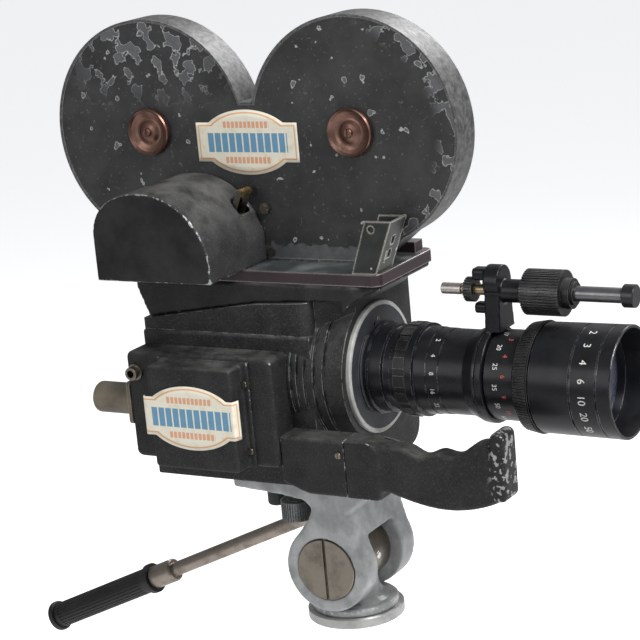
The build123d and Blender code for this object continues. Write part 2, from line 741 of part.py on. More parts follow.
with BuildPart() as drive_sprocket:
    with BuildSketch(side_plane(-13.5)):
        with Locations((SPROCKET_X, SPROCKET_Z)):
            gear_outline(WHEEL_PITCH_R, WHEEL_TEETH, 180 + MESH_ANGLE + 180 / WHEEL_TEETH)
    extrude(amount=6.5)
    with BuildSketch(side_plane(10)):
        with Locations((SPROCKET_X, SPROCKET_Z)):
            Circle(3.0)
    extrude(amount=24)
    with BuildSketch(side_plane(8)):
        with Locations((SPROCKET_X, SPROCKET_Z)):
            Circle(14)
    extrude(amount=15.5)
    with BuildSketch(side_plane(TOOTH_Y)):
        with Locations((SPROCKET_X, SPROCKET_Z)):
            with PolarLocations(14.4, SPROCKET_TEETH):
                Rectangle(2.0, 1.6)
    extrude(amount=1.6)
save(drive_sprocket, "drive_sprocket")

GATE_X = 14.0
with BuildPart() as film_gate:
    with BuildSketch(front_plane(GATE_X)):
        with Locations((9, 200)):
            Rectangle(34, 70)
        with Locations((0, LENS_Z)):
            Rectangle(10.3, 7.5, mode=Mode.SUBTRACT)
        with Locations((SHUTTER_Y, SHUTTER_Z)):
            Circle(2.5 + RUN, mode=Mode.SUBTRACT)
    extrude(amount=4)
    with BuildSketch(side_plane(MECH_FAR_Y)):
        with Locations((12, 200)):
            Rectangle(12, 70)
    extrude(amount=MECH_FAR_Y - MECH_NEAR_Y)
save(film_gate, "film_gate")

with BuildPart() as pressure_plate:
    with BuildSketch(front_plane(GATE_X - 4.5)):
        with Locations((0, LENS_Z)):
            RectangleRounded(15, 42, 2)
    extrude(amount=3.5)
    with BuildSketch(front_plane(GATE_X - 4.5)):
        with Locations((0, LENS_Z + 12), (0, LENS_Z - 12)):
            Circle(2)
    extrude(amount=-5)
save(pressure_plate, "pressure_plate")

SHUTTER_R = 30.5
with BuildPart() as shutter_disc:
    with BuildSketch(front_plane(24.0)):
        with Locations((SHUTTER_Y, SHUTTER_Z)):
            Circle(SHUTTER_R)
        with Locations((SHUTTER_Y + SHUTTER_R / 2, SHUTTER_Z)):
            Rectangle(SHUTTER_R, 2 * SHUTTER_R, mode=Mode.SUBTRACT)
        with Locations((SHUTTER_Y, SHUTTER_Z)):
            Circle(9)
    extrude(amount=1.5)
    with BuildSketch(front_plane(6.0)):
        with Locations((SHUTTER_Y, SHUTTER_Z)):
            Circle(2.5)
    extrude(amount=22)
save(shutter_disc, "shutter_disc")

# ---------------------------------------------------------------- finger grip
GRIP_JOINT_X = 46.0
GRIP_NEAR_Y = -76.0
with BuildPart() as grip_bracket:
    with BuildSketch(side_plane(NEAR_Y)):
        with BuildLine():
            Polyline(
                (BOX_FRONT_X, 131),
                (BOX_FRONT_X, 166),
                (GRIP_JOINT_X, 166),
                (GRIP_JOINT_X, 122.5),
                (14, 122.5),
                close=True,
            )
        make_face()
    extrude(amount=NEAR_Y - GRIP_NEAR_Y)
    fillet(grip_bracket.faces().sort_by(Axis.Y)[0].edges().filter_by(Axis.X), 3)
save(grip_bracket, "grip_bracket")

# Finger hollows along the top and a full round belly, then an upright end guard.
GRIP_TOP = [(72, 165), (84, 163.5), (94, 163), (107, 157.5), (120, 162), (131, 160), (150, 170.5), (160, 171)]
with BuildPart() as finger_grip:
    with BuildSketch(side_plane(-56.0)):
        with BuildLine():
            Line((60, 128), (60, 165))
            Line((60, 165), GRIP_TOP[0])
            Spline(*GRIP_TOP)
            Line(GRIP_TOP[-1], (168, 171))
            Line((168, 171), (168, 130))
            Spline((168, 130), (150, 123), (126, 119.5), (100, 122.5), (78, 129))
            Line((78, 129), (60, 128))
        make_face()
    extrude(amount=18)
    chamfer(finger_grip.edges().group_by(Axis.Y)[0] + finger_grip.edges().group_by(Axis.Y)[-1], 2.0)
    with BuildSketch(side_plane(-54.5)):
        with Locations((168, 155.5)):
            RectangleRounded(11, 51, 5)
    extrude(amount=21.5)
    fillet(finger_grip.faces().sort_by(Axis.Y)[0].edges(), 1.5)
    with BuildSketch(side_plane(NEAR_Y)):
        with BuildLine():
            Polyline(
                (GRIP_JOINT_X, 122.5),
                (GRIP_JOINT_X, 166),
                (66, 166),
                (73, 160),
                (73, 122.5),
                close=True,
            )
        make_face()
    extrude(amount=NEAR_Y - GRIP_NEAR_Y)
save(finger_grip, "finger_grip")

# One node holds the small slotted screws of the camera body.
def slotted_head(plane, centre, head_r, height, slot):
    """A pan-headed screw seen end on, with its slot, drawn on a plane."""
    with BuildPart() as screw:
        with BuildSketch(plane):
            with Locations(centre):
                Circle(head_r)
        extrude(amount=height)
        fillet(screw.edges().filter_by(GeomType.CIRCLE), 0.4)
        with BuildSketch(plane.offset(height - slot)):
            with Locations(centre):
                Rectangle(0.8, 3 * head_r)
        extrude(amount=2, mode=Mode.SUBTRACT)
    return screw.part


with BuildPart() as body_screws:
    for x, z in COVER_SCREWS:
        add(slotted_head(side_plane(BOX_NEAR_Y - COVER_FLANGE_T), (x, z), 2.4, 1.8, 0.8))
    for y, z in BOARD_SCREWS:
        add(slotted_head(front_plane(NOSE_X + 1.4), (y, LENS_Z + z), 1.9, 1.6, 0.6))
    add(slotted_head(side_plane(GRIP_NEAR_Y), (41.5, 155), 2.4, 1.6, 0.8))
save(body_screws, "body_screws")

# ================================================================ saddle and plate
SADDLE_TOP = MAGAZINE_BOTTOM - PLATE_T
SADDLE_LAYER = SADDLE_TOP - 4.5
with BuildPart() as saddle_neck:
    with BuildSketch(side_plane(48)):
        with BuildLine():
            Polyline(
                (NOSE_X + 0.5, 252),
                (NOSE_X, TOP_FRONT),
                (12, TOP_FRONT),
                (12, TOP_FRONT - 0.5),
                TOP_MID,
                (REAR_X + 4, TOP_REAR + 0.6),
                (REAR_X - 5, SADDLE_LAYER - 2),
                (REAR_X - 5, SADDLE_TOP),
                (67, SADDLE_TOP),
                (67, SADDLE_LAYER),
            )
            ThreePointArc((67, SADDLE_LAYER), (48, 261.5), (NOSE_X + 0.5, 252))
        make_face()
    extrude(amount=96)
    with BuildSketch(side_plane(FAR_Y)):
        with BuildLine():
            Polyline(
                (REAR_X - 10, SADDLE_LAYER),
                (72, SADDLE_LAYER),
                (72, SADDLE_LAYER - 0.8),
                (REAR_X - 10, SADDLE_LAYER - 0.8),
                close=True,
            )
        make_face()
    extrude(amount=FAR_Y - 46.8, mode=Mode.SUBTRACT)
    with BuildSketch(Plane.XY.offset(TOP_REAR)):
        with Locations(*[(x, 0) for x in FILM_SLOTS_X]):
            Rectangle(*FILM_SLOT)
    extrude(amount=40, mode=Mode.SUBTRACT)
    # the front end narrows towards the lens
    with BuildSketch(Plane.XY.offset(TOP_REAR)):
        with BuildLine():
            Polyline((46, -50), (80, -50), (80, -30), close=True)
        make_face()
        with BuildLine():
            Polyline((46, 50), (80, 50), (80, 34), close=True)
        make_face()
    extrude(amount=50, mode=Mode.SUBTRACT)
save(saddle_neck, "saddle_neck")

with BuildPart() as adapter_plate:
    with BuildSketch(Plane.XY.offset(SADDLE_TOP)):
        with Locations(((REAR_X + 65) / 2, -2)):
            RectangleRounded(70 - REAR_X + 5, 88, 7)
    extrude(amount=PLATE_T)
    fillet(adapter_plate.edges().group_by(Axis.Z)[-1], 0.8)
    with BuildSketch(Plane.XY.offset(SADDLE_TOP)):
        with Locations(*[(x, 0) for x in FILM_SLOTS_X]):
            Rectangle(*FILM_SLOT)
    extrude(amount=PLATE_T, mode=Mode.SUBTRACT)
    # stop block beside the magazine foot on the far side
    with BuildSketch(Plane.XY.offset(MAGAZINE_BOTTOM - 1)):
        with Locations((57, 28)):
            Rectangle(16, 12)
    extrude(amount=9.5)
save(adapter_plate, "adapter_plate")

# Channel-shaped clamp that leans forward against the magazine foot.
CLAMP_T = 2.6
CLAMP_NEAR_Y, CLAMP_FAR_Y = -45.0, -21.0
CLAMP_FRONT = ((68.0, MAGAZINE_BOTTOM), (83.5, 321.5))
CLAMP_REAR = ((48.0, MAGAZINE_BOTTOM), (62.0, 321.5))
with BuildPart() as clamp_bracket:
    with BuildSketch(side_plane(CLAMP_FAR_Y)):
        with BuildLine():
            Polyline(CLAMP_REAR[0], CLAMP_FRONT[0], CLAMP_FRONT[1], CLAMP_REAR[1], close=True)
        make_face()
    extrude(amount=CLAMP_FAR_Y - CLAMP_NEAR_Y)
    with BuildSketch(side_plane(CLAMP_FAR_Y - CLAMP_T)):
        with BuildLine():
            Polyline(
                (CLAMP_REAR[0][0] - 20, MAGAZINE_BOTTOM + CLAMP_T),
                (CLAMP_FRONT[0][0] - 1.7, MAGAZINE_BOTTOM + CLAMP_T),
                (CLAMP_FRONT[1][0] + 1.4, 330),
                (CLAMP_REAR[1][0] - 20, 330),
                close=True,
            )
        make_face()
    extrude(amount=CLAMP_FAR_Y - CLAMP_NEAR_Y - 2 * CLAMP_T, mode=Mode.SUBTRACT)
    with BuildSketch(side_plane(CLAMP_NEAR_Y + 4)):
        with Locations((66.5, 315.5)):
            Circle(2.4)
    extrude(amount=8, mode=Mode.SUBTRACT)
    with BuildSketch(front_plane(60)):
        with Locations((-33, 306), (-33, 296)):
            Rectangle(4.5, 6)
    extrude(amount=25, mode=Mode.SUBTRACT)
save(clamp_bracket, "clamp_bracket")

# ================================================================ magazine
MAGAZINE_RIM = 1.6
MAGAZINE_RECESS = 0.8
FACE_Y = -MAGAZINE_HALF + MAGAZINE_RECESS
NOTCH_Z = 402.0
CHAMBER_R = 79.0
CHAMBER_NEAR_Y = -11.0
LID_R = 81.0
LID_T = 2.5
SPINDLES_X = (REAR_SPINDLE_X, FRONT_SPINDLE_X)


def magazine_outline(inset):
    """Sketch the two lobes, the web between them and the flat foot, drawn in."""
    with Locations(*[(x, SPINDLE_Z) for x in SPINDLES_X]):
        Circle(LOBE_R - inset)
    Polygon(
        (REAR_SPINDLE_X + 30, SPINDLE_Z),
        (NOTCH_X - 5.4 - inset, NOTCH_Z - inset),
        (NOTCH_X + 5.4 + inset, NOTCH_Z - inset),
        (FRONT_SPINDLE_X - 30, SPINDLE_Z),
        (FRONT_SPINDLE_X + 36 - inset, 303),
        (50 - inset, MAGAZINE_BOTTOM + inset),
        (REAR_SPINDLE_X + 20 + inset, MAGAZINE_BOTTOM + inset),
        (REAR_SPINDLE_X + 20 + inset, SPINDLE_Z - 60),
        align=None,
    )


with BuildPart() as magazine_case:
    with BuildSketch(side_plane(MAGAZINE_HALF)):
        magazine_outline(0)
    extrude(amount=2 * MAGAZINE_HALF)
    with BuildSketch(side_plane(FACE_Y)):
        magazine_outline(MAGAZINE_RIM)
    extrude(amount=4, mode=Mode.SUBTRACT)
    with BuildSketch(side_plane(MAGAZINE_HALF)):
        with Locations(*[(x, SPINDLE_Z) for x in SPINDLES_X]):
            Circle(CHAMBER_R)
    extrude(amount=MAGAZINE_HALF - CHAMBER_NEAR_Y, mode=Mode.SUBTRACT)
    with BuildSketch(side_plane(MAGAZINE_HALF)):
        with Locations(*[(x, SPINDLE_Z) for x in SPINDLES_X]):
            Circle(LID_R + RUN)
    extrude(amount=LID_T + 0.2, mode=Mode.SUBTRACT)
    with BuildSketch(side_plane(-5)):
        with Locations(*[(x, SPINDLE_Z) for x in SPINDLES_X]):
            Circle(4.0 + RUN)
    extrude(amount=20, mode=Mode.SUBTRACT)
    with BuildSketch(Plane.XY.offset(MAGAZINE_BOTTOM - 5)):
        with Locations(*[(x, 0) for x in FILM_SLOTS_X]):
            Rectangle(*FILM_SLOT)
    extrude(amount=65, mode=Mode.SUBTRACT)
save(magazine_case, "magazine_case")

ROLL_R = 62.0
KNOB_SEAT_Y = FACE_Y - GAP
for spindle_x, place, roll_r in (
    (REAR_SPINDLE_X, "takeup", 48.0),
    (FRONT_SPINDLE_X, "feed", ROLL_R),
):
    lid_end = "rear" if spindle_x < NOTCH_X else "front"
    lid = cross_turned(
        spindle_x,
        SPINDLE_Z,
        [
            (MAGAZINE_HALF - LID_T, 0),
            (MAGAZINE_HALF - LID_T, LID_R),
            (MAGAZINE_HALF - 0.6, LID_R),
            (MAGAZINE_HALF, LID_R - 0.6),
            (MAGAZINE_HALF, 26),
            (MAGAZINE_HALF + 3, 24),
            (MAGAZINE_HALF + 3, 0),
        ],
    )
    with BuildPart() as lid_with_bar:
        add(lid.part)
        with BuildSketch(side_plane(MAGAZINE_HALF + 9)):
            with Locations((spindle_x, SPINDLE_Z)):
                SlotOverall(40, 6)
        extrude(amount=7)
    save(lid_with_bar, f"magazine_lid_{lid_end}")

    spindle = cross_turned(
        spindle_x,
        SPINDLE_Z,
        [
            (CHAMBER_NEAR_Y + 22, 0),
            (CHAMBER_NEAR_Y + 22, 4.0),
            (CHAMBER_NEAR_Y + 1.2, 4.0),
            (CHAMBER_NEAR_Y + 1.2, 7.0),
            (CHAMBER_NEAR_Y + GAP, 7.0),
            (CHAMBER_NEAR_Y + GAP, 4.0),
            (KNOB_SEAT_Y - 4.4, 4.0),
            (KNOB_SEAT_Y - 4.4, 3.4),
            (KNOB_SEAT_Y - 6.0, 3.4),
            (KNOB_SEAT_Y - 6.6, 2.8),
            (KNOB_SEAT_Y - 6.6, 0),
        ],
    )
    with BuildPart() as slotted_spindle:
        add(spindle.part)
        with BuildSketch(side_plane(KNOB_SEAT_Y - 5.8)):
            with Locations((spindle_x, SPINDLE_Z)):
                Rectangle(0.9, 9)
        extrude(amount=3, mode=Mode.SUBTRACT)
    save(slotted_spindle, f"{place}_spindle")

    knob = cross_turned(
        spindle_x,
        SPINDLE_Z,
        [
            (KNOB_SEAT_Y, 4.0),
            (KNOB_SEAT_Y, 17.4),
            (KNOB_SEAT_Y - 0.6, 18.0),
            (KNOB_SEAT_Y - 4.0, 18.0),
            (KNOB_SEAT_Y - 5.0, 17.2),
            (KNOB_SEAT_Y - 3.4, 15.4),
            (KNOB_SEAT_Y - 2.2, 12.8),
            (KNOB_SEAT_Y - 1.6, 10.6),
            (KNOB_SEAT_Y - 1.8, 9.0),
            (KNOB_SEAT_Y - 3.4, 6.4),
            (KNOB_SEAT_Y - 4.4, 4.0),
        ],
    )
    save(knob, f"{place}_knob")

    roll = cross_turned(
        spindle_x,
        SPINDLE_Z,
        [(-8.0, 4.0), (-8.0, roll_r), (8.0, roll_r), (8.0, 4.0)],
    )
    save(roll, f"{place}_roll")

with BuildPart() as magazine_nut:
    with BuildSketch(side_plane(FACE_Y)):
        with Locations((-38.3, 322.6)):
            RegularPolygon(4.6, 6)
    extrude(amount=3.6)
    with BuildSketch(side_plane(FACE_Y - 3.6)):
        with Locations((-38.3, 322.6)):
            Circle(2.4)
    extrude(amount=1.4)
    with BuildSketch(side_plane(FACE_Y)):
        with Locations((-36.8, 289.5)):
            Circle(3.2)
    extrude(amount=2.2)
save(magazine_nut, "magazine_nut")

# Badges: an oval with a tab at each end, carrying no lettering.
BADGE_T = 0.35


def badge_outline(width, tab_height, oval_width, oval_height):
    """Sketch an oval badge with square tabs about the current location."""
    Ellipse(oval_width / 2, oval_height / 2)
    Rectangle(width, tab_height)


with BuildPart() as magazine_badge:
    with BuildSketch(side_plane(FACE_Y)):
        with Locations((-49.5, 372)):
            badge_outline(88, 29.5, 80, 49)
    extrude(amount=BADGE_T)
save(magazine_badge, "magazine_badge")

with BuildPart() as cover_badge:
    with BuildSketch(side_plane(COVER_NEAR_Y)):
        with Locations((-68.5, 181.5)):
            badge_outline(68, 30, 66, 47)
    extrude(amount=BADGE_T)
save(cover_badge, "cover_badge")

# ---------------------------------------------------------------- take-up motor housing
COVER_X = (-141.0, -41.0)
COVER_LOW = MAGAZINE_BOTTOM
COVER_SHOULDER = 300.0
COVER_CROWN = 349.0
MOTOR_COVER_NEAR_Y = -94.0
ROLLER_X, ROLLER_Z = -49.0, 337.0
BAIL_X, BAIL_Z = -58.0, 318.0
POCKET_Y = (-34.0, -18.0)


COVER_WALL = 2.5
REAR_SHOULDER = (-120.0, 345.0)
FRONT_SHOULDER = (-76.0, 345.0)
with BuildPart() as motor_cover:
    for wall, mode in ((0, Mode.ADD), (COVER_WALL, Mode.SUBTRACT)):
        with BuildSketch(side_plane(-MAGAZINE_HALF)):
            with BuildLine():
                Polyline(
                    (COVER_X[1], COVER_SHOULDER),
                    (COVER_X[1], COVER_LOW),
                    (COVER_X[0], COVER_LOW),
                    (COVER_X[0], COVER_SHOULDER + 16),
                )
                ThreePointArc((COVER_X[0], COVER_SHOULDER + 16), (-135, 334), REAR_SHOULDER)
                ThreePointArc(REAR_SHOULDER, (-98, COVER_CROWN), FRONT_SHOULDER)
                ThreePointArc(FRONT_SHOULDER, (-54, 329), (COVER_X[1], COVER_SHOULDER))
            make_face()
            if wall:
                offset(amount=-wall, mode=Mode.REPLACE)
        extrude(amount=-MAGAZINE_HALF - MOTOR_COVER_NEAR_Y - wall, mode=mode)
        if not wall:
            fillet(motor_cover.edges().group_by(Axis.Y)[0], 1.0)
    with BuildSketch(side_plane(POCKET_Y[1])):
        with Locations((-44, 334)):
            Rectangle(26, 26)
    extrude(amount=POCKET_Y[1] - POCKET_Y[0], mode=Mode.SUBTRACT)
save(motor_cover, "motor_cover")

TAKEUP_MOTOR = (-98.0, 313.0)
with BuildPart() as takeup_motor:
    with BuildSketch(side_plane(-30)):
        with Locations(TAKEUP_MOTOR):
            Circle(24)
    extrude(amount=54)
    chamfer(takeup_motor.edges().filter_by(GeomType.CIRCLE), 1.5)
    with BuildSketch(side_plane(FACE_Y)):
        with Locations(TAKEUP_MOTOR):
            Circle(16)
    extrude(amount=18)
save(takeup_motor, "takeup_motor")

with BuildPart() as roller_bail:
    for arm_y in (POCKET_Y[0] + 1.6, POCKET_Y[1] - 0.6):
        with BuildSketch(side_plane(arm_y)):
            with BuildLine():
                Polyline(
                    (BAIL_X - 2, BAIL_Z),
                    (BAIL_X + 2, BAIL_Z - 1.5),
                    (ROLLER_X + 2, ROLLER_Z - 1),
                    (ROLLER_X - 2, ROLLER_Z + 1),
                    close=True,
                )
            make_face()
            with Locations((BAIL_X, BAIL_Z)):
                Circle(2.6)
            with Locations((ROLLER_X, ROLLER_Z)):
                Circle(2.6)
        extrude(amount=1.0)
    with BuildSketch(side_plane(POCKET_Y[1] - 0.6)):
        with Locations((BAIL_X, BAIL_Z)):
            Circle(1.4)
        with Locations((ROLLER_X, ROLLER_Z)):
            Circle(1.2)
    extrude(amount=POCKET_Y[1] - POCKET_Y[0] - 1.2)
save(roller_bail, "roller_bail")

tension_roller = cross_turned(
    ROLLER_X,
    ROLLER_Z,
    [
        (POCKET_Y[0] + 2.0, 1.2 + RUN),
        (POCKET_Y[0] + 2.0, 3.2),
        (POCKET_Y[1] - 2.0, 3.2),
        (POCKET_Y[1] - 2.0, 1.2 + RUN),
    ],
)
save(tension_roller, "tension_roller")

# ================================================================ lens
HUB_R = 29.0
CORE_BORE_R = 20.0
LENS_SEAT = BOSS_FRONT
MOUNT_FRONT = 68.0
LOCK_FRONT = 77.3
with BuildPart() as lens_lock_ring:
    with BuildSketch(front_plane(MOUNT_FRONT + GAP)):
        with Locations((0, LENS_Z)):
            Circle(34.0)
            with PolarLocations(33.4, 16):
                Rectangle(3.4, 8.4)
            Circle(HUB_R + RUN, mode=Mode.SUBTRACT)
    extrude(amount=LOCK_FRONT - MOUNT_FRONT - GAP)
save(lens_lock_ring, "lens_lock_ring")

COLLAR_REAR, COLLAR_FRONT = 133.3, 139.4
ZOOM_REAR, ZOOM_FRONT = COLLAR_FRONT + 0.8, 163.0
IRIS_REAR, IRIS_FRONT = 93.3, 102.8
FRONT_START = ZOOM_FRONT + 1.2
CORE_FRONT = 200.0
lens_barrel = lens_tube(
    [
        (LENS_SEAT, CORE_BORE_R),
        (LENS_SEAT, 34.5),
        (LENS_SEAT + 3, 34.5),
        (LENS_SEAT + 3.5, 33.0),
        (LENS_SEAT + 14, 33.0),
        (LENS_SEAT + 15, 31.0),
        (MOUNT_FRONT - 5, 31.0),
        (MOUNT_FRONT - 4, 33.0),
        (MOUNT_FRONT, 33.0),
        (MOUNT_FRONT, HUB_R),
        (LOCK_FRONT + GAP, HUB_R),
        (LOCK_FRONT + GAP, 34.7),
        (83.0, 34.7),
        (83.6, 32.6),
        (IRIS_REAR - GAP, 32.2),
        (IRIS_REAR - GAP, HUB_R),
        (IRIS_FRONT + GAP, HUB_R),
        (IRIS_FRONT + GAP, 31.5),
        (122.6, 31.5),
        (131.5, 35.3),
        (COLLAR_REAR, 35.3),
        (COLLAR_REAR, 31.5),
        (COLLAR_FRONT + 0.4, 31.5),
        (COLLAR_FRONT + 0.4, HUB_R),
        (CORE_FRONT, HUB_R),
        (CORE_FRONT, CORE_BORE_R),
    ]
)
save(lens_barrel, "lens_barrel")

iris_ring = lens_tube(
    [(IRIS_REAR, HUB_R + RUN), (IRIS_REAR, 31.8), (IRIS_FRONT, 31.8), (IRIS_FRONT, HUB_R + RUN)]
)
save(iris_ring, "iris_ring")

zoom_ring = lens_tube(
    [
        (ZOOM_REAR, HUB_R + RUN),
        (ZOOM_REAR, 32.6),
        (ZOOM_REAR + 0.4, 33.0),
        (ZOOM_FRONT - 1.0, 33.0),
        (ZOOM_FRONT, 33.6),
        (ZOOM_FRONT, HUB_R + RUN),
    ]
)
save(zoom_ring, "zoom_ring")

FOCUS_FRONT = 177.0
FRONT_RIM = 239.5
FRONT_R = 40.3
focus_ring = lens_tube(
    [
        (FRONT_START, HUB_R + RUN),
        (FRONT_START, 37.2),
        (FRONT_START + 1.5, 38.4),
        (FOCUS_FRONT, 40.4),
        (FOCUS_FRONT, HUB_R + RUN),
    ]
)
save(focus_ring, "focus_ring")

GLASS_X = 212.0
GLASS_R = 34.0
front_barrel = lens_tube(
    [
        (FOCUS_FRONT, HUB_R + RUN),
        (FOCUS_FRONT, 38.6),
        (FOCUS_FRONT + 1.0, FRONT_R - 0.4),
        (208.2, FRONT_R),
        (208.6, FRONT_R - 0.8),
        (209.2, FRONT_R - 0.8),
        (209.6, FRONT_R),
        (228.2, FRONT_R + 0.2),
        (228.6, FRONT_R - 0.5),
        (229.2, FRONT_R - 0.5),
        (229.6, FRONT_R + 0.2),
        (FRONT_RIM - 0.6, FRONT_R + 0.4),
        (FRONT_RIM, FRONT_R),
        (FRONT_RIM, FRONT_R - 1.6),
        (GLASS_X + 9, GLASS_R + 0.8),
        (GLASS_X + 9, GLASS_R),
        (GLASS_X, GLASS_R),
        (GLASS_X, 30.5),
        (CORE_FRONT + 2, 30.5),
        (CORE_FRONT + 2, HUB_R + RUN),
    ]
)
save(front_barrel, "front_barrel")

GLASS_CURVE_R = 106.0
GLASS_CROWN = 8.6
with BuildPart() as front_glass:
    with BuildSketch(front_plane(GLASS_X)):
        with Locations((0, LENS_Z)):
            Circle(GLASS_R)
    extrude(amount=GLASS_CROWN)
    with Locations((GLASS_X + GLASS_CROWN - GLASS_CURVE_R, 0, LENS_Z)):
        Sphere(GLASS_CURVE_R, mode=Mode.INTERSECT)
save(front_glass, "front_glass")

# ---------------------------------------------------------------- lens drive control
DRIVE_Z = 263.0
DRIVE_PLANE = Plane(origin=(0, 0, DRIVE_Z), x_dir=(1, 0, 0), z_dir=(0, -1, 0))
DRIVE_AXIS = Axis((0, 0, DRIVE_Z), (1, 0, 0))
DRIVE_SHAFT_R = 4.0
BRACKET_REAR, BRACKET_FRONT = 134.5, 146.5
with BuildPart() as drive_bracket:
    with BuildSketch(front_plane(COLLAR_REAR + 0.2)):
        with Locations((0, LENS_Z)):
            Circle(35.8)
    extrude(amount=COLLAR_FRONT - COLLAR_REAR - 0.2)
    with BuildSketch(front_plane(BRACKET_REAR)):
        with BuildLine():
            Line((-13, LENS_Z + 34), (-10, DRIVE_Z))
            ThreePointArc((-10, DRIVE_Z), (0, DRIVE_Z + 19), (10, DRIVE_Z))
            Line((10, DRIVE_Z), (13, LENS_Z + 34))
            Line((13, LENS_Z + 34), (-13, LENS_Z + 34))
        make_face()
    extrude(amount=BRACKET_FRONT - BRACKET_REAR)
    with BuildSketch(front_plane(124.0)):
        with Locations((0, 275)):
            RectangleRounded(12, 9, 3)
    extrude(amount=BRACKET_REAR - 124.0)
    with BuildSketch(front_plane(124.0)):
        with Locations((0, 250)):
            RectangleRounded(10, 8, 3)
    extrude(amount=BRACKET_REAR - 124.0)
    with BuildSketch(front_plane(BRACKET_FRONT)):
        with Locations((0, DRIVE_Z)):
            Circle(8.5)
    extrude(amount=15.0)
    with BuildSketch(front_plane(COLLAR_FRONT + 0.6)):
        with Locations((0, LENS_Z)):
            Circle(34.2)
    extrude(amount=BRACKET_FRONT - COLLAR_FRONT, mode=Mode.SUBTRACT)
    with BuildSketch(front_plane(COLLAR_REAR)):
        with Locations((0, LENS_Z)):
            Circle(31.5)
    extrude(amount=10, mode=Mode.SUBTRACT)
    with BuildSketch(front_plane(120)):
        with Locations((0, DRIVE_Z)):
            Circle(DRIVE_SHAFT_R + RUN)
    extrude(amount=50, mode=Mode.SUBTRACT)
save(drive_bracket, "drive_bracket")

drive_rod = turned(
    DRIVE_PLANE,
    DRIVE_AXIS,
    [
        (97.0, 0),
        (97.0, 3.8),
        (97.4, 4.2),
        (112.6, 4.2),
        (113.0, 3.2),
        (118.0, 3.2),
        (118.0, DRIVE_SHAFT_R),
        (202.0, DRIVE_SHAFT_R),
        (202.0, 5.5),
        (238.0, 5.5),
        (238.0, 7.9),
        (238.4, 8.3),
        (246.4, 8.3),
        (247.0, 7.7),
        (247.0, 0),
    ],
)
save(drive_rod, "drive_rod")

with BuildPart() as drive_nut:
    with BuildSketch(front_plane(117.0)):
        with Locations((0, DRIVE_Z)):
            toothed_wheel(9.0, 24, 0.6)
            Circle(DRIVE_SHAFT_R, mode=Mode.SUBTRACT)
    extrude(amount=6.5)
save(drive_nut, "drive_nut")

DRUM_REAR, DRUM_FRONT = 162.0, 197.0
with BuildPart() as drive_drum:
    with BuildSketch(front_plane(DRUM_REAR)):
        with Locations((0, DRIVE_Z)):
            Circle(11)
    extrude(amount=DRUM_FRONT - DRUM_REAR + 3)
    with BuildSketch(front_plane(DRUM_REAR + 3)):
        with Locations((0, DRIVE_Z)):
            toothed_wheel(16.5, 48, 0.7)
    extrude(amount=DRUM_FRONT - DRUM_REAR - 6)
    with BuildSketch(front_plane(DRUM_FRONT)):
        with Locations((0, DRIVE_Z)):
            Circle(8.5)
    extrude(amount=5)
    with BuildSketch(front_plane(DRUM_REAR)):
        with Locations((0, DRIVE_Z)):
            Circle(DRIVE_SHAFT_R)
    extrude(amount=60, mode=Mode.SUBTRACT)
save(drive_drum, "drive_drum")
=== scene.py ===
# %% [markdown]
# # A cine camera on a pan and tilt head
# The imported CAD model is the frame: every joint, size and place comes from it.
# This lesson dresses that frame.  Most CAD pieces keep their shape and get a
# finish of their own.  Castings get a softened skin; badges, dial numerals and
# knurling are new meshes.

# %% Load the frame
import math

import bmesh
import bpy
from mathutils import Matrix, Vector


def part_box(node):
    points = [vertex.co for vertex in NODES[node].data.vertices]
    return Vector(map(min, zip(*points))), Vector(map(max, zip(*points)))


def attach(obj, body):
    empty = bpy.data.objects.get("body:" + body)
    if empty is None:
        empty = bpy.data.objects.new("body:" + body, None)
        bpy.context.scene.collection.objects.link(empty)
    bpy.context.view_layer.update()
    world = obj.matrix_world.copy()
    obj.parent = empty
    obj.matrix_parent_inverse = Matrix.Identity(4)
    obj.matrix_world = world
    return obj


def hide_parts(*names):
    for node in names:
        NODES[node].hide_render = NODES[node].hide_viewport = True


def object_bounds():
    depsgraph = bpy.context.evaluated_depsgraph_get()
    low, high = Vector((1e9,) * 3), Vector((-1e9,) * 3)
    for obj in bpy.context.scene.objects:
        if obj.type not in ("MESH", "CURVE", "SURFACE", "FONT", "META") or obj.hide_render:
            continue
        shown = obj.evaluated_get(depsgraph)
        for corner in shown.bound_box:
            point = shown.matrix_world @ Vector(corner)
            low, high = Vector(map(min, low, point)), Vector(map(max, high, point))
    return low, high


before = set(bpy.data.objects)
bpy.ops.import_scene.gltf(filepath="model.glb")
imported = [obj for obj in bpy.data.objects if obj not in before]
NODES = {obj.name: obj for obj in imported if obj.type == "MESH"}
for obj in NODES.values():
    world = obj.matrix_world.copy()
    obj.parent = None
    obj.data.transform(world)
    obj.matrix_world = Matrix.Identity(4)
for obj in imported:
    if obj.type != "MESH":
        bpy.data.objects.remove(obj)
CAD_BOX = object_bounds()
print("frame holds", len(NODES), "nodes")

# %% [markdown]
# ## The camera that looks at it
# A long lens from the front quarter keeps the verticals nearly parallel.  The
# view is turned a little about its own axis, so the object leans as a hand-held
# view shows it.  Yaw, pitch and roll build three axes, and those are the
# columns of the camera's matrix.

# %% Viewing camera
VIEW_FROM = Vector((0.8029, -1.3485, 0.6300))
VIEW_YAW, VIEW_PITCH, VIEW_ROLL = 0.5420, 0.2466, -0.0927
VIEW_LENS_MM = 121.2


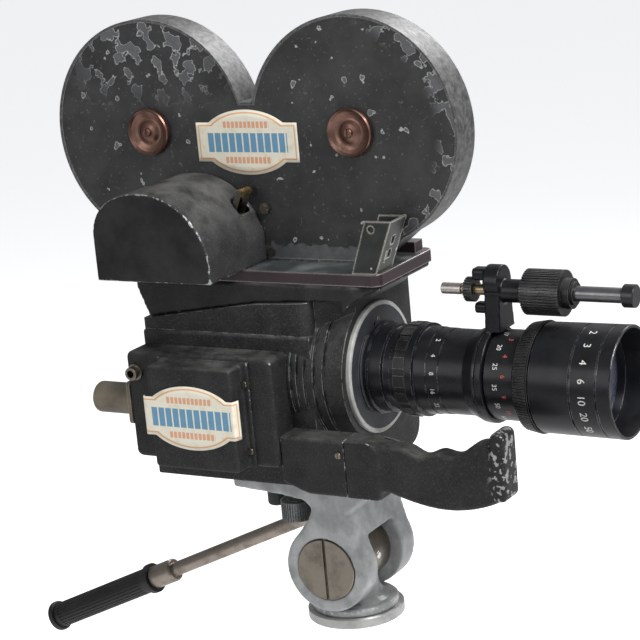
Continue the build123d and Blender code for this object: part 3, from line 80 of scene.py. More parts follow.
def viewing_camera():
    """Place the viewing camera and make it the scene's own."""
    data = bpy.data.cameras.new("viewing_camera")
    data.lens = VIEW_LENS_MM
    data.sensor_width = 36.0
    camera = bpy.data.objects.new("viewing_camera", data)
    bpy.context.scene.collection.objects.link(camera)
    level = math.cos(VIEW_PITCH)
    back = Vector((math.sin(VIEW_YAW) * level, -math.cos(VIEW_YAW) * level, math.sin(VIEW_PITCH)))
    right = Vector((math.cos(VIEW_YAW), math.sin(VIEW_YAW), 0))
    up = back.cross(right)
    c, s = math.cos(VIEW_ROLL), math.sin(VIEW_ROLL)
    columns = Matrix((c * right + s * up, -s * right + c * up, back)).transposed()
    camera.matrix_world = Matrix.Translation(VIEW_FROM) @ columns.to_4x4()
    bpy.context.scene.camera = camera
    return camera


viewing_camera()
print("camera stands", round(VIEW_FROM.length, 3), "m from the head's base")

# %% [markdown]
# ## Building materials without repeating ourselves
# A material is a small tree of nodes.  Two helpers keep the trees readable:
# one adds a node and wires its inputs in a single call, the other starts a
# node group with named sockets.

# %% Node helpers
def add(tree, kind, inputs=None, **settings):
    """Add a node; each input is a value, or a socket to link from."""
    item = tree.nodes.new(kind)
    for key, value in settings.items():
        setattr(item, key, value)
    for key, value in (inputs or {}).items():
        if isinstance(value, bpy.types.NodeSocket):
            tree.links.new(value, item.inputs[key])
        else:
            item.inputs[key].default_value = value
    return item


def maths(tree, operation, a, b=0.0, c=0.0, clamp=False):
    """A Math node's output for two or three values or sockets."""
    return add(
        tree, "ShaderNodeMath", {0: a, 1: b, 2: c}, operation=operation, use_clamp=clamp
    ).outputs[0]


def ramp(tree, value, low, high):
    """0 below low, 1 above high, smooth between; low may be the larger."""
    item = add(
        tree,
        "ShaderNodeMapRange",
        {"Value": value, "From Min": low, "From Max": high},
        interpolation_type="SMOOTHSTEP",
    )
    return item.outputs["Result"]


def mix_colour(tree, factor, a, b):
    """Blend two colours by a factor."""
    item = add(tree, "ShaderNodeMix", data_type="RGBA")
    for socket, value in ((item.inputs[0], factor), (item.inputs[6], a), (item.inputs[7], b)):
        if isinstance(value, bpy.types.NodeSocket):
            tree.links.new(value, socket)
        else:
            socket.default_value = value
    return item.outputs[2]


def noise(tree, vector, scale, detail=3.0, roughness=0.55):
    """A noise pattern's value."""
    item = add(
        tree, "ShaderNodeTexNoise", {
            "Vector": vector, "Scale": scale, "Detail": detail, "Roughness": roughness
        }
    )
    return item.outputs["Fac"]


def place(tree):
    """Object coordinates: the frame's own metres."""
    return add(tree, "ShaderNodeTexCoord").outputs["Object"]


def rgb(r, g, b):
    """A colour with full alpha."""
    return (r, g, b, 1.0)


def start_group(name, inputs, outputs):
    """A node group with named float inputs (and defaults) and float outputs."""
    tree = bpy.data.node_groups.new(name, "ShaderNodeTree")
    for label, value in inputs.items():
        socket = tree.interface.new_socket(label, in_out="INPUT", socket_type="NodeSocketFloat")
        socket.default_value = value
    for label in outputs:
        tree.interface.new_socket(label, in_out="OUTPUT", socket_type="NodeSocketFloat")
    entry = tree.nodes.new("NodeGroupInput")
    leave = tree.nodes.new("NodeGroupOutput")
    return tree, entry.outputs, leave.inputs


def use(tree, group, inputs=None):
    """Place a node group in a tree and return its outputs."""
    return add(tree, "ShaderNodeGroup", inputs, node_tree=group).outputs


print("helpers ready")

# %% [markdown]
# ## Shared effects
# Wear shows first on edges, where hands and cases rub.  A Bevel node looks a
# short way round each point: where its rounded normal leaves the true one there
# is an edge.  Skins have many small faces, so there the Pointiness of the mesh
# finds the ridges.  Breaking either up with noise gives chipped paint and not a
# drawn outline.  Dust lies on what faces up, chips are islands of noise with a pale
# rim, and crinkle paint is a fine web of ridges.

# %% Edge wear group
def make_edge_wear():
    """Mask of worn edges: Width in metres, Cover from 0 to 1."""
    tree, given, out = start_group(
        "edge_wear", {"Width": 0.001, "Cover": 0.5, "Breakup": 120.0}, ["Mask"]
    )
    spot = place(tree)
    rounded = add(tree, "ShaderNodeBevel", {"Radius": given["Width"]}, samples=4).outputs["Normal"]
    real = add(tree, "ShaderNodeNewGeometry").outputs["Normal"]
    same = add(
        tree, "ShaderNodeVectorMath", {0: rounded, 1: real}, operation="DOT_PRODUCT"
    ).outputs["Value"]
    edge = ramp(tree, maths(tree, "SUBTRACT", 1.0, same), 0.005, 0.16)
    grain = noise(tree, spot, given["Breakup"], 5.0, 0.65)
    limit = maths(tree, "SUBTRACT", 0.78, maths(tree, "MULTIPLY", given["Cover"], 0.5))
    worn = ramp(
        tree, maths(tree, "MULTIPLY_ADD", edge, 0.28, grain), limit, maths(tree, "ADD", limit, 0.07)
    )
    tree.links.new(maths(tree, "MULTIPLY", worn, ramp(tree, edge, 0.0, 0.35)), out["Mask"])
    return tree


EDGE_WEAR = make_edge_wear()


def make_ridge_wear():
    """Mask of worn ridges on a finely meshed casting, where it stands proud."""
    tree, given, out = start_group("ridge_wear", {"Cover": 0.5, "Breakup": 210.0}, ["Mask"])
    proud = add(tree, "ShaderNodeNewGeometry").outputs["Pointiness"]
    ridge = ramp(tree, proud, 0.511, 0.556)
    grain = noise(tree, place(tree), given["Breakup"], 6.0, 0.7)
    limit = maths(tree, "SUBTRACT", 0.85, maths(tree, "MULTIPLY", given["Cover"], 0.45))
    worn = ramp(
        tree,
        maths(tree, "MULTIPLY_ADD", ridge, 0.22, grain),
        limit,
        maths(tree, "ADD", limit, 0.06),
    )
    tree.links.new(maths(tree, "MULTIPLY", worn, ramp(tree, ridge, 0.0, 0.4)), out["Mask"])
    return tree


RIDGE_WEAR = make_ridge_wear()


# %% Dust, chips and crinkle groups
def make_dust():
    """Dust on what faces up, and a faint film elsewhere."""
    tree, given, out = start_group("dust", {"Amount": 0.5}, ["Mask"])
    normal = add(tree, "ShaderNodeNewGeometry").outputs["Normal"]
    up = add(tree, "ShaderNodeSeparateXYZ", {0: normal}).outputs["Z"]
    lie = ramp(tree, up, 0.15, 1.0)
    patch = ramp(tree, noise(tree, place(tree), 38.0, 5.0, 0.65), 0.30, 0.72)
    film = maths(tree, "MULTIPLY", patch, 0.16)
    both = maths(tree, "MULTIPLY_ADD", maths(tree, "MULTIPLY", lie, patch), 0.85, film)
    tree.links.new(maths(tree, "MULTIPLY", both, given["Amount"], clamp=True), out["Mask"])
    return tree


def make_chips():
    """Islands where paint has come off, each with a pale lip round it."""
    tree, given, out = start_group("chips", {"Scale": 60.0, "Cover": 0.3}, ["Bare", "Lip"])
    spot = place(tree)
    wobble = noise(tree, spot, maths(tree, "MULTIPLY", given["Scale"], 3.5), 3.0)
    body = noise(tree, spot, given["Scale"], 2.0, 0.45)
    field = maths(tree, "MULTIPLY_ADD", wobble, 0.16, body)
    limit = maths(tree, "SUBTRACT", 0.92, maths(tree, "MULTIPLY", given["Cover"], 0.4))
    bare = ramp(tree, field, limit, maths(tree, "ADD", limit, 0.012))
    around = ramp(
        tree, field, maths(tree, "SUBTRACT", limit, 0.024), maths(tree, "SUBTRACT", limit, 0.012)
    )
    tree.links.new(bare, out["Bare"])
    tree.links.new(maths(tree, "SUBTRACT", around, bare, clamp=True), out["Lip"])
    return tree


def make_crinkle():
    """Height of crinkle paint: a web of soft ridges."""
    tree, given, out = start_group("crinkle", {"Scale": 900.0}, ["Height"])
    spot = place(tree)
    cells = add(
        tree,
        "ShaderNodeTexVoronoi",
        {"Vector": spot, "Scale": given["Scale"]},
        feature="SMOOTH_F1",
    ).outputs["Distance"]
    grit = noise(tree, spot, maths(tree, "MULTIPLY", given["Scale"], 1.7), 2.0)
    tree.links.new(maths(tree, "MULTIPLY_ADD", grit, 0.5, cells), out["Height"])
    return tree


DUST = make_dust()
CHIPS = make_chips()
CRINKLE = make_crinkle()
print("effect groups:", [g.name for g in bpy.data.node_groups])


# %% [markdown]
# ## Finishes
# A finish starts as a plain surface and takes the effects it needs.  Numbers
# that are the same all over sit on the shader itself.

# %% Start and finish a material
def surface(name):
    """A new material's tree and its Principled shader."""
    material = bpy.data.materials.new(name)
    material.use_nodes = True
    tree = material.node_tree
    return material, tree, tree.nodes["Principled BSDF"]


def bump(tree, shader, height, strength, distance, soft=0.0):
    """Feed a height into the shader's normal, over edges rounded by soft metres."""
    item = add(tree, "ShaderNodeBump", {"Strength": strength, "Distance": distance, "Height": height})
    if soft:
        rounded = add(tree, "ShaderNodeBevel", {"Radius": soft}, samples=6).outputs["Normal"]
        tree.links.new(rounded, item.inputs["Normal"])
    tree.links.new(item.outputs["Normal"], shader.inputs["Normal"])


# %% Painted metal
SHEEN = 0.30


def painted(
    name,
    colour,
    under=(0.42, 0.43, 0.44),
    rough=0.5,
    crinkle=900.0,
    depth=0.00018,
    wear=0.5,
    width=0.0012,
    dust=0.5,
    chips=0.0,
    chip_scale=60.0,
    coat=0.0,
    speckle=0.0,
    cast=False,
    soft=0.0,
    near_face_shade=1.0,
    chips_from=None,
):
    """Paint over metal, worn through at edges and chips, with dust on top."""
    material, tree, shader = surface(name)
    spot = place(tree)
    tone = ramp(tree, noise(tree, spot, 55.0, 5.0, 0.6), 0.3, 0.75)
    paint = mix_colour(tree, tone, rgb(*[0.72 * v for v in colour]), rgb(*[1.35 * v for v in colour]))
    fleck = ramp(tree, noise(tree, spot, crinkle * 1.5, 3.0, 0.7), 0.50, 0.75)
    paint = mix_colour(tree, maths(tree, "MULTIPLY", fleck, speckle), paint, rgb(0.17, 0.17, 0.168))
    # Painted shade: when the factor is below 1, faces that look along -Y get a darker copy of the paint
    # colour.
    if near_face_shade != 1.0:
        facing = add(tree, "ShaderNodeNewGeometry").outputs["Normal"]
        side = add(tree, "ShaderNodeSeparateXYZ", {0: facing}).outputs["Y"]
        shade = tuple(near_face_shade * v for v in colour)
        paint = mix_colour(tree, ramp(tree, side, -0.8, -0.98), paint, rgb(*shade))
    dusty = use(tree, DUST, {"Amount": dust})["Mask"]
    grey = mix_colour(tree, dusty, paint, rgb(0.235, 0.232, 0.222))
    if cast:
        edge = use(tree, RIDGE_WEAR, {"Cover": wear})["Mask"]
    else:
        edge = use(tree, EDGE_WEAR, {"Width": width, "Cover": wear})["Mask"]
    flakes = use(tree, CHIPS, {"Scale": chip_scale, "Cover": chips})
    share = 1.0 if chips else 0.0
    if chips_from is not None:
        along = add(tree, "ShaderNodeSeparateXYZ", {0: spot}).outputs["X"]
        share = ramp(tree, along, chips_from, chips_from + 0.008)
    bare = maths(tree, "MAXIMUM", edge, maths(tree, "MULTIPLY", flakes["Bare"], share))
    metal = mix_colour(
        tree,
        noise(tree, spot, 260.0),
        rgb(*[0.6 * v for v in under]),
        rgb(*[1.3 * v for v in under]),
    )
    base = mix_colour(tree, bare, grey, metal)
    if chips:
        lip = maths(tree, "MULTIPLY", maths(tree, "MULTIPLY", flakes["Lip"], 0.8), share)
        base = mix_colour(tree, lip, base, rgb(0.42, 0.42, 0.40))
    tree.links.new(base, shader.inputs["Base Color"])
    tree.links.new(maths(tree, "MULTIPLY", bare, 0.75), shader.inputs["Metallic"])
    uneven = maths(tree, "MULTIPLY_ADD", noise(tree, spot, 90.0), 0.22, rough - 0.11)
    tree.links.new(maths(tree, "MULTIPLY_ADD", dusty, 0.2, uneven), shader.inputs["Roughness"])
    shader.inputs["Coat Weight"].default_value = coat
    shader.inputs["Specular IOR Level"].default_value = SHEEN
    if depth:
        ridges = use(tree, CRINKLE, {"Scale": crinkle})["Height"]
        cover = maths(tree, "SUBTRACT", 1.0, maths(tree, "MULTIPLY", bare, 0.8))
        bump(tree, shader, maths(tree, "MULTIPLY", ridges, cover), 0.55, depth, soft)
    return material


# %% Bare metal
def metal(
    name,
    colour,
    rough=0.3,
    grime=0.4,
    dark=(0.10, 0.09, 0.075),
    metallic=1.0,
    grain=300.0,
    scratch=0.00003,
):
    """Worn metal with grime in patches and fine handling marks."""
    material, tree, shader = surface(name)
    spot = place(tree)
    patch = ramp(tree, noise(tree, spot, 70.0, 6.0, 0.65), 0.42, 0.72)
    base = mix_colour(tree, maths(tree, "MULTIPLY", patch, grime), rgb(*colour), rgb(*dark))
    edge = use(tree, EDGE_WEAR, {"Width": 0.0007, "Cover": 0.55})["Mask"]
    bright = rgb(*[min(1.0, 1.35 * v) for v in colour])
    tree.links.new(
        mix_colour(tree, maths(tree, "MULTIPLY", edge, 0.6), base, bright),
        shader.inputs["Base Color"],
    )
    tree.links.new(maths(tree, "MULTIPLY_ADD", patch, 0.25, rough), shader.inputs["Roughness"])
    shader.inputs["Metallic"].default_value = metallic
    bump(tree, shader, noise(tree, spot, grain * 4, 4.0), 0.35, scratch)
    return material


print("finish makers ready")

# %% [markdown]
# ## Magazine paint
# The magazine's faces are black, its rim is bare.  Both are one casting, so one
# material tells them apart by which way the surface faces: a face looks along Y
# and lies below the rim.  The rear lobe has lost far more paint near its top.

# %% Magazine finish
RIM_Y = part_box("magazine_case")[0].y
REAR_HUB = (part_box("takeup_knob")[0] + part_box("takeup_knob")[1]) / 2
FRONT_HUB = (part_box("feed_knob")[0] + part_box("feed_knob")[1]) / 2


def magazine_paint():
    """Black chipped faces and a bare, speckled rim."""
    material, tree, shader = surface("magazine_paint")
    spot = place(tree)
    axes = add(tree, "ShaderNodeSeparateXYZ", {0: spot}).outputs
    facing = add(tree, "ShaderNodeNewGeometry").outputs["Normal"]
    side = add(tree, "ShaderNodeSeparateXYZ", {0: facing}).outputs["Y"]
    flat = ramp(tree, maths(tree, "ABSOLUTE", side), 0.90, 0.98)
    ragged = maths(tree, "MULTIPLY_ADD", noise(tree, spot, 210.0, 4.0), 0.0016, RIM_Y - 0.0006)
    below = maths(tree, "GREATER_THAN", axes["Y"], ragged)
    face = maths(tree, "MULTIPLY", flat, below)
    reach = maths(tree, "ABSOLUTE", maths(tree, "SUBTRACT", axes["X"], REAR_HUB.x + 0.005))
    lobe = ramp(tree, reach, 0.085, 0.03)
    high = ramp(tree, axes["Z"], REAR_HUB.z + 0.012, REAR_HUB.z + 0.055)
    worn = maths(tree, "MULTIPLY", lobe, high)
    drop = maths(tree, "SUBTRACT", axes["Z"], FRONT_HUB.z)
    run = maths(tree, "SUBTRACT", axes["X"], FRONT_HUB.x)
    out = maths(
        tree,
        "SQRT",
        maths(tree, "ADD", maths(tree, "MULTIPLY", drop, drop), maths(tree, "MULTIPLY", run, run)),
    )
    rim = ramp(
        tree,
        maths(tree, "MULTIPLY", ramp(tree, out, 0.058, 0.084), ramp(tree, run, -0.02, 0.05)),
        0.2,
        0.9,
    )
    worn = maths(tree, "MAXIMUM", worn, maths(tree, "MULTIPLY", rim, 0.9))
    few = use(tree, CHIPS, {"Scale": 85.0, "Cover": 0.30})
    many = use(tree, CHIPS, {"Scale": 95.0, "Cover": 0.69})
    pins = use(tree, CHIPS, {"Scale": 420.0, "Cover": 0.40})
    bare = maths(tree, "MAXIMUM", few["Bare"], maths(tree, "MULTIPLY", many["Bare"], worn))
    bare = maths(tree, "MAXIMUM", bare, maths(tree, "MULTIPLY", pins["Bare"], 0.6))
    lip = maths(tree, "MAXIMUM", few["Lip"], maths(tree, "MULTIPLY", many["Lip"], worn))
    foot = ramp(
        tree,
        maths(tree, "MULTIPLY_ADD", noise(tree, spot, 120.0, 4.0), 0.012, axes["Z"]),
        0.3015,
        0.3005,
    )
    bare = maths(tree, "MAXIMUM", bare, foot)
    tone = noise(tree, spot, 30.0, 6.0, 0.6)
    paint = mix_colour(
        tree, ramp(tree, tone, 0.3, 0.75), rgb(0.012, 0.0125, 0.013), rgb(0.036, 0.037, 0.038)
    )
    paint = mix_colour(tree, use(tree, DUST, {"Amount": 0.5})["Mask"], paint, rgb(0.15, 0.15, 0.145))
    zinc = mix_colour(
        tree, noise(tree, spot, 190.0, 4.0), rgb(0.075, 0.079, 0.081), rgb(0.21, 0.215, 0.22)
    )
    coat = mix_colour(tree, bare, paint, zinc)
    coat = mix_colour(tree, maths(tree, "MULTIPLY", lip, 0.8), coat, rgb(0.50, 0.51, 0.51))
    edge = use(tree, EDGE_WEAR, {"Width": 0.0016, "Cover": 0.8})["Mask"]
    coat = mix_colour(tree, maths(tree, "MULTIPLY", edge, 0.65), coat, rgb(0.5, 0.5, 0.49))
    wall = mix_colour(
        tree,
        ramp(tree, noise(tree, spot, 240.0, 8.0, 0.75), 0.36, 0.66),
        rgb(0.060, 0.061, 0.062),
        rgb(0.150, 0.150, 0.149),
    )
    tree.links.new(mix_colour(tree, face, wall, coat), shader.inputs["Base Color"])
    shiny = maths(tree, "SUBTRACT", 1.0, face)
    tree.links.new(
        maths(tree, "MULTIPLY", maths(tree, "MAXIMUM", maths(tree, "MULTIPLY", shiny, 0.4), bare), 0.6),
        shader.inputs["Metallic"],
    )
    tree.links.new(
        maths(tree, "MULTIPLY_ADD", noise(tree, spot, 140.0, 5.0), 0.3, 0.33),
        shader.inputs["Roughness"],
    )
    grain = noise(tree, spot, 700.0, 3.0)
    sunk = maths(tree, "MULTIPLY_ADD", bare, -0.8, maths(tree, "MULTIPLY", grain, 0.6))
    bump(tree, shader, sunk, 0.5, 0.00012)
    return material


MAGAZINE_PAINT = magazine_paint()

# %% [markdown]
# ## The other finishes
# One call each.  The motor housing is greyer and more rubbed than the body, and its
# near face is painted darker, a painted shade; the finger grip has lost its paint at
# the end guard; the adapter plate's edge is plum brown with a bare top; the
# hammered casting of the head is a paint with a coarse, shallow crinkle.

# %% Make the finishes
HOUSING_BLACK = painted(
    "housing_crinkle",
    (0.013, 0.0133, 0.014),
    wear=0.12,
    width=0.0009,
    dust=0.4,
    rough=0.5,
    depth=0.0003,
    crinkle=600.0,
    speckle=0.35,
    soft=0.0018,
)
BODY_BLACK = painted(
    "body_crinkle",
    (0.010, 0.0103, 0.0105),
    wear=0.22,
    dust=0.35,
    rough=0.55,
    depth=0.0003,
    crinkle=600.0,
    speckle=0.25,
    cast=True,
)
GRIP_BLACK = painted(
    "grip_crinkle",
    (0.010, 0.0103, 0.0105),
    wear=0.36,
    dust=0.30,
    rough=0.5,
    crinkle=500.0,
    depth=0.0003,
    speckle=0.22,
    cast=True,
    chips=0.62,
    chip_scale=240.0,
    chips_from=0.157,
)
COVER_GREY = painted(
    "motor_housing_paint",
    (0.022, 0.0225, 0.023),
    wear=0.42,
    dust=0.45,
    rough=0.55,
    crinkle=600.0,
    depth=0.0003,
    speckle=0.35,
    cast=True,
    # Painted shade on the near face: a quarter of the paint's colour.
    near_face_shade=0.25,
)
SADDLE_BLACK = painted(
    "saddle_paint",
    (0.011, 0.0113, 0.0125),
    wear=0.22,
    dust=0.3,
    rough=0.42,
    crinkle=500.0,
    depth=0.0002,
    speckle=0.15,
    cast=True,
)
CLAMP_GREEN = painted(
    "clamp_paint",
    (0.022, 0.026, 0.024),
    under=(0.60, 0.58, 0.52),
    wear=0.95,
    width=0.0022,
    dust=0.3,
    chips=0.34,
    chip_scale=120.0,
    rough=0.35,
    depth=0.00004,
)
CASTING_GREY = painted(
    "hammered_grey",
    (0.36, 0.37, 0.37),
    under=(0.6, 0.6, 0.6),
    wear=0.25,
    dust=0.3,
    rough=0.34,
    crinkle=260.0,
    depth=0.0003,
    coat=0.3,
    cast=True,
)
KNOB_GREEN = painted("knob_paint", (0.030, 0.036, 0.034), wear=0.6, dust=0.3, rough=0.4, depth=0.00005)
OLIVE = painted(
    "connector_olive",
    (0.150, 0.128, 0.092),
    under=(0.45, 0.40, 0.30),
    wear=0.5,
    dust=0.3,
    rough=0.42,
    depth=0.00003,
)
CREAM = painted(
    "cream_ring_enamel",
    (0.44, 0.44, 0.42),
    under=(0.2, 0.2, 0.19),
    wear=0.25,
    width=0.0005,
    dust=0.15,
    rough=0.45,
    depth=0.0,
)
BOARD_GREY = painted(
    "board_grey",
    (0.030, 0.032, 0.037),
    under=(0.4, 0.4, 0.4),
    wear=0.3,
    width=0.0006,
    dust=0.15,
    rough=0.5,
    crinkle=1600.0,
    depth=0.00003,
)
LENS_BLACK = painted(
    "lens_black",
    (0.006, 0.0065, 0.0085),
    under=(0.5, 0.5, 0.5),
    wear=0.12,
    width=0.00035,
    dust=0.04,
    rough=0.30,
    depth=0.0,
)
KNURL_BLACK = painted(
    "knurl_black",
    (0.007, 0.007, 0.008),
    under=(0.4, 0.4, 0.4),
    wear=0.3,
    width=0.0003,
    dust=0.2,
    rough=0.36,
    depth=0.0,
)
ALUMINIUM = metal("turned_aluminium", (0.50, 0.50, 0.49), rough=0.3, grime=0.3, dark=(0.24, 0.24, 0.23))
NICKEL = metal("old_nickel", (0.27, 0.24, 0.20), rough=0.28, grime=0.55, dark=(0.10, 0.085, 0.07))
CHROME = metal("bright_steel", (0.70, 0.69, 0.67), rough=0.16, grime=0.25, dark=(0.2, 0.18, 0.15))
BRASS = metal("old_brass", (0.52, 0.37, 0.17), rough=0.3, grime=0.4, dark=(0.2, 0.13, 0.06))
COPPER = metal("copper_knob", (0.235, 0.135, 0.105), rough=0.34, grime=0.6, dark=(0.075, 0.045, 0.036))
BAR_METAL = metal("pan_bar_metal", (0.36, 0.31, 0.27), rough=0.32, grime=0.5, dark=(0.14, 0.11, 0.09))
PLAIN_METAL = metal("machined_metal", (0.5, 0.5, 0.5), rough=0.3, grime=0.2)


# %% Plate, rubber, film and glass
def plate_finish():
    """Adapter plate: plum paint on its edge, a rubbed greenish metal top."""
    material, tree, shader = surface("adapter_plate_finish")
    spot = place(tree)
    facing = add(tree, "ShaderNodeNewGeometry").outputs["Normal"]
    up = ramp(tree, add(tree, "ShaderNodeSeparateXYZ", {0: facing}).outputs["Z"], 0.6, 0.95)
    tone = noise(tree, spot, 45.0, 6.0, 0.6)
    plum = mix_colour(tree, tone, rgb(0.012, 0.007, 0.009), rgb(0.050, 0.030, 0.036))
    top = mix_colour(tree, ramp(tree, tone, 0.35, 0.7), rgb(0.045, 0.055, 0.058), rgb(0.17, 0.18, 0.175))
    base = mix_colour(tree, up, plum, top)
    edge = use(tree, EDGE_WEAR, {"Width": 0.0014, "Cover": 0.95})["Mask"]
    tree.links.new(mix_colour(tree, edge, base, rgb(0.46, 0.38, 0.37)), shader.inputs["Base Color"])
    tree.links.new(
        maths(tree, "MULTIPLY_ADD", up, 0.3, maths(tree, "MULTIPLY", edge, 0.4)),
        shader.inputs["Metallic"],
    )
    tree.links.new(maths(tree, "MULTIPLY_ADD", tone, 0.35, 0.2), shader.inputs["Roughness"])
    bump(tree, shader, noise(tree, spot, 500.0), 0.3, 0.00005)
    return material


def rubber():
    """Black hand-grip rubber with a dusty bloom."""
    material, tree, shader = surface("grip_rubber")
    bloom_and_painted_reflection = use(tree, DUST, {"Amount": 0.5})["Mask"]
    tree.links.new(
        mix_colour(tree, bloom_and_painted_reflection, rgb(0.008, 0.008, 0.009), rgb(0.07, 0.07, 0.07)),
        shader.inputs["Base Color"],
    )
    tree.links.new(maths(tree, "MULTIPLY_ADD", bloom_and_painted_reflection, 0.3, 0.42), shader.inputs["Roughness"])
    bump(tree, shader, noise(tree, place(tree), 900.0), 0.3, 0.00006)
    return material


def film_edge():
    """The wound edge of a roll of film: fine rings about its hub."""
    material, tree, shader = surface("film_edge")
    rings = noise(tree, place(tree), 400.0)
    tree.links.new(
        mix_colour(tree, rings, rgb(0.02, 0.015, 0.012), rgb(0.07, 0.05, 0.04)),
        shader.inputs["Base Color"],
    )
    shader.inputs["Roughness"].default_value = 0.35
    return material


def coated_glass_painted_reflection():
    """A lens's coated front glass: dark, glossy, with a dark blue coating tint that turns a lighter blue
    and violet towards grazing angles as a painted reflection.
    """
    material, tree, shader = surface("coated_glass_painted_reflection")
    facing = add(tree, "ShaderNodeLayerWeight", {"Blend": 0.45}).outputs["Facing"]
    # Dark blue coating tint, lightened towards grazing angles as a painted reflection.
    bloom_and_painted_reflection = mix_colour(tree, facing, rgb(0.015, 0.022, 0.050), rgb(0.22, 0.24, 0.34))
    tree.links.new(bloom_and_painted_reflection, shader.inputs["Base Color"])
    shader.inputs["Roughness"].default_value = 0.04
    shader.inputs["Metallic"].default_value = 0.35
    shader.inputs["Coat Weight"].default_value = 1.0
    shader.inputs["Coat Roughness"].default_value = 0.02
    return material


def rod_finish():
    """One shaft, four finishes along its length: steel, brass, grey and black."""
    material, tree, shader = surface("drive_rod_finish")
    spot = place(tree)
    along = add(tree, "ShaderNodeSeparateXYZ", {0: spot}).outputs["X"]
    low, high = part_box("drive_rod")
    steel = mix_colour(tree, noise(tree, spot, 300.0, 5.0), rgb(0.30, 0.27, 0.24), rgb(0.75, 0.70, 0.66))
    brass = mix_colour(tree, noise(tree, spot, 300.0), rgb(0.20, 0.15, 0.08), rgb(0.50, 0.40, 0.24))
    grey = mix_colour(
        tree, noise(tree, spot, 220.0, 5.0), rgb(0.13, 0.13, 0.135), rgb(0.24, 0.24, 0.245)
    )
    base = mix_colour(tree, maths(tree, "GREATER_THAN", along, low.x + 0.0157), steel, brass)
    base = mix_colour(tree, maths(tree, "GREATER_THAN", along, low.x + 0.060), base, grey)
    black = maths(tree, "GREATER_THAN", along, high.x - 0.0091)
    tree.links.new(mix_colour(tree, black, base, rgb(0.012, 0.012, 0.013)), shader.inputs["Base Color"])
    tree.links.new(maths(tree, "MULTIPLY_ADD", black, -0.85, 0.85), shader.inputs["Metallic"])
    tree.links.new(
        maths(tree, "MULTIPLY_ADD", noise(tree, spot, 150.0), 0.25, 0.2), shader.inputs["Roughness"]
    )
    return material


ROD_GREY = rod_finish()
PLATE = plate_finish()
RUBBER = rubber()
FILM = film_edge()
GLASS = coated_glass_painted_reflection()
print("finishes:", len(bpy.data.materials))

# %% [markdown]
# ## Hand each CAD node its finish
# Every node has one slot, so assigning a finish replaces the plain colour that
# came with the frame.

# %% Assign finishes
FINISHES = {
    HOUSING_BLACK: ["body_housing", "film_door"],
    BODY_BLACK: ["side_box", "box_cover"],
    GRIP_BLACK: ["grip_bracket", "finger_grip"],
    COVER_GREY: ["motor_cover"],
    SADDLE_BLACK: ["saddle_neck"],
    CLAMP_GREEN: ["clamp_bracket"],
    PLATE: ["adapter_plate"],
    MAGAZINE_PAINT: ["magazine_case", "magazine_lid_rear", "magazine_lid_front"],
    CASTING_GREY: ["tilt_yoke", "turntable"],
    KNOB_GREEN: ["camera_screw", "locating_screw"],
    OLIVE: ["rear_connector"],
    CREAM: ["front_ring"],
    BOARD_GREY: ["lens_board"],
    LENS_BLACK: [
        "lens_barrel", "iris_ring", "zoom_ring", "front_barrel", "drive_bracket", "shutter_disc"
    ],
    KNURL_BLACK: ["lens_lock_ring", "focus_ring", "drive_nut", "drive_drum"],
    ALUMINIUM: ["base_flange"],
    NICKEL: [
        "tilt_drum",
        "tilt_pivot",
        "roller_bail",
        "door_latch",
        "box_socket",
        "body_screws",
        "magazine_nut",
    ],
    CHROME: ["drum_screw", "door_hinge_pin"],
    BRASS: ["tension_roller", "motor_pinion"],
    COPPER: ["takeup_knob", "feed_knob", "takeup_spindle", "feed_spindle"],
    BAR_METAL: ["pan_bar_tube"],
    RUBBER: ["pan_bar_grip"],
    ROD_GREY: ["drive_rod"],
    FILM: ["takeup_roll", "feed_roll"],
    GLASS: ["front_glass"],
    PLAIN_METAL: [
        "mechanism_plate",
        "drive_motor",
        "drive_sprocket",
        "film_gate",
        "pressure_plate",
        "takeup_motor",
    ],
}
for finish, names in FINISHES.items():
    for name in names:
        for slot in NODES[name].material_slots:
            slot.material = finish
dressed = {name for names in FINISHES.values() for name in names}
print("still plain:", sorted(set(NODES) - dressed))


# %% [markdown]
# ## Turning a bmesh into a piece
# New pieces are built in place, in the frame's metres, so their objects stay at
# the origin.  The helper gives a piece its finish and tells the frame which body
# carries it.

# %% Piece helper
def piece(name, bm, finish, body, smooth=True):
    """Make an object from a bmesh, dress it and let it ride on a body."""
    bmesh.ops.recalc_face_normals(bm, faces=bm.faces)
    mesh = bpy.data.meshes.new(name)
    bm.to_mesh(mesh)
    bm.free()
    for polygon in mesh.polygons:
        polygon.use_smooth = smooth
    mesh.materials.append(finish)
    made = bpy.data.objects.new(name, mesh)
    bpy.context.scene.collection.objects.link(made)
    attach(made, body)
    print(name, len(mesh.polygons), "faces")
    return made


# %% [markdown]
# ## Castings with soft edges
# Sand castings under thick paint have no sharp edges.  Bevelling each edge of a
# complicated casting by hand is slow, so a copy of the CAD node is merged,
# remeshed into small even cells and smoothed, which rounds every corner by
# about two cells and leaves flat and round faces where they are.

# %% Cast skins
def cast_skin(node, cell, rounds, finish, body="camera"):
    """A softened copy of a CAD node that is shown in its place."""
    bm = bmesh.new()
    bm.from_mesh(NODES[node].data)
    bmesh.ops.remove_doubles(bm, verts=bm.verts, dist=0.00001)
    mesh = bpy.data.meshes.new(node + "_skin")
    bm.to_mesh(mesh)
    bm.free()
    rough = bpy.data.objects.new(node + "_rough", mesh)
    bpy.context.scene.collection.objects.link(rough)
    cells = rough.modifiers.new("cells", "REMESH")
    cells.mode = "VOXEL"
    cells.voxel_size = cell
    cells.use_smooth_shade = True
    soften = rough.modifiers.new("soften", "SMOOTH")
    soften.iterations = rounds
    soften.factor = 0.5
    settled = bpy.data.meshes.new_from_object(rough.evaluated_get(bpy.context.evaluated_depsgraph_get()))
    bpy.data.objects.remove(rough)
    settled.materials.clear()
    settled.materials.append(finish)
    for polygon in settled.polygons:
        polygon.use_smooth = True
    made = bpy.data.objects.new(node + "_skin", settled)
    bpy.context.scene.collection.objects.link(made)
    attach(made, body)
    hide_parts(node)
    print(made.name, len(settled.polygons), "faces")
    return made


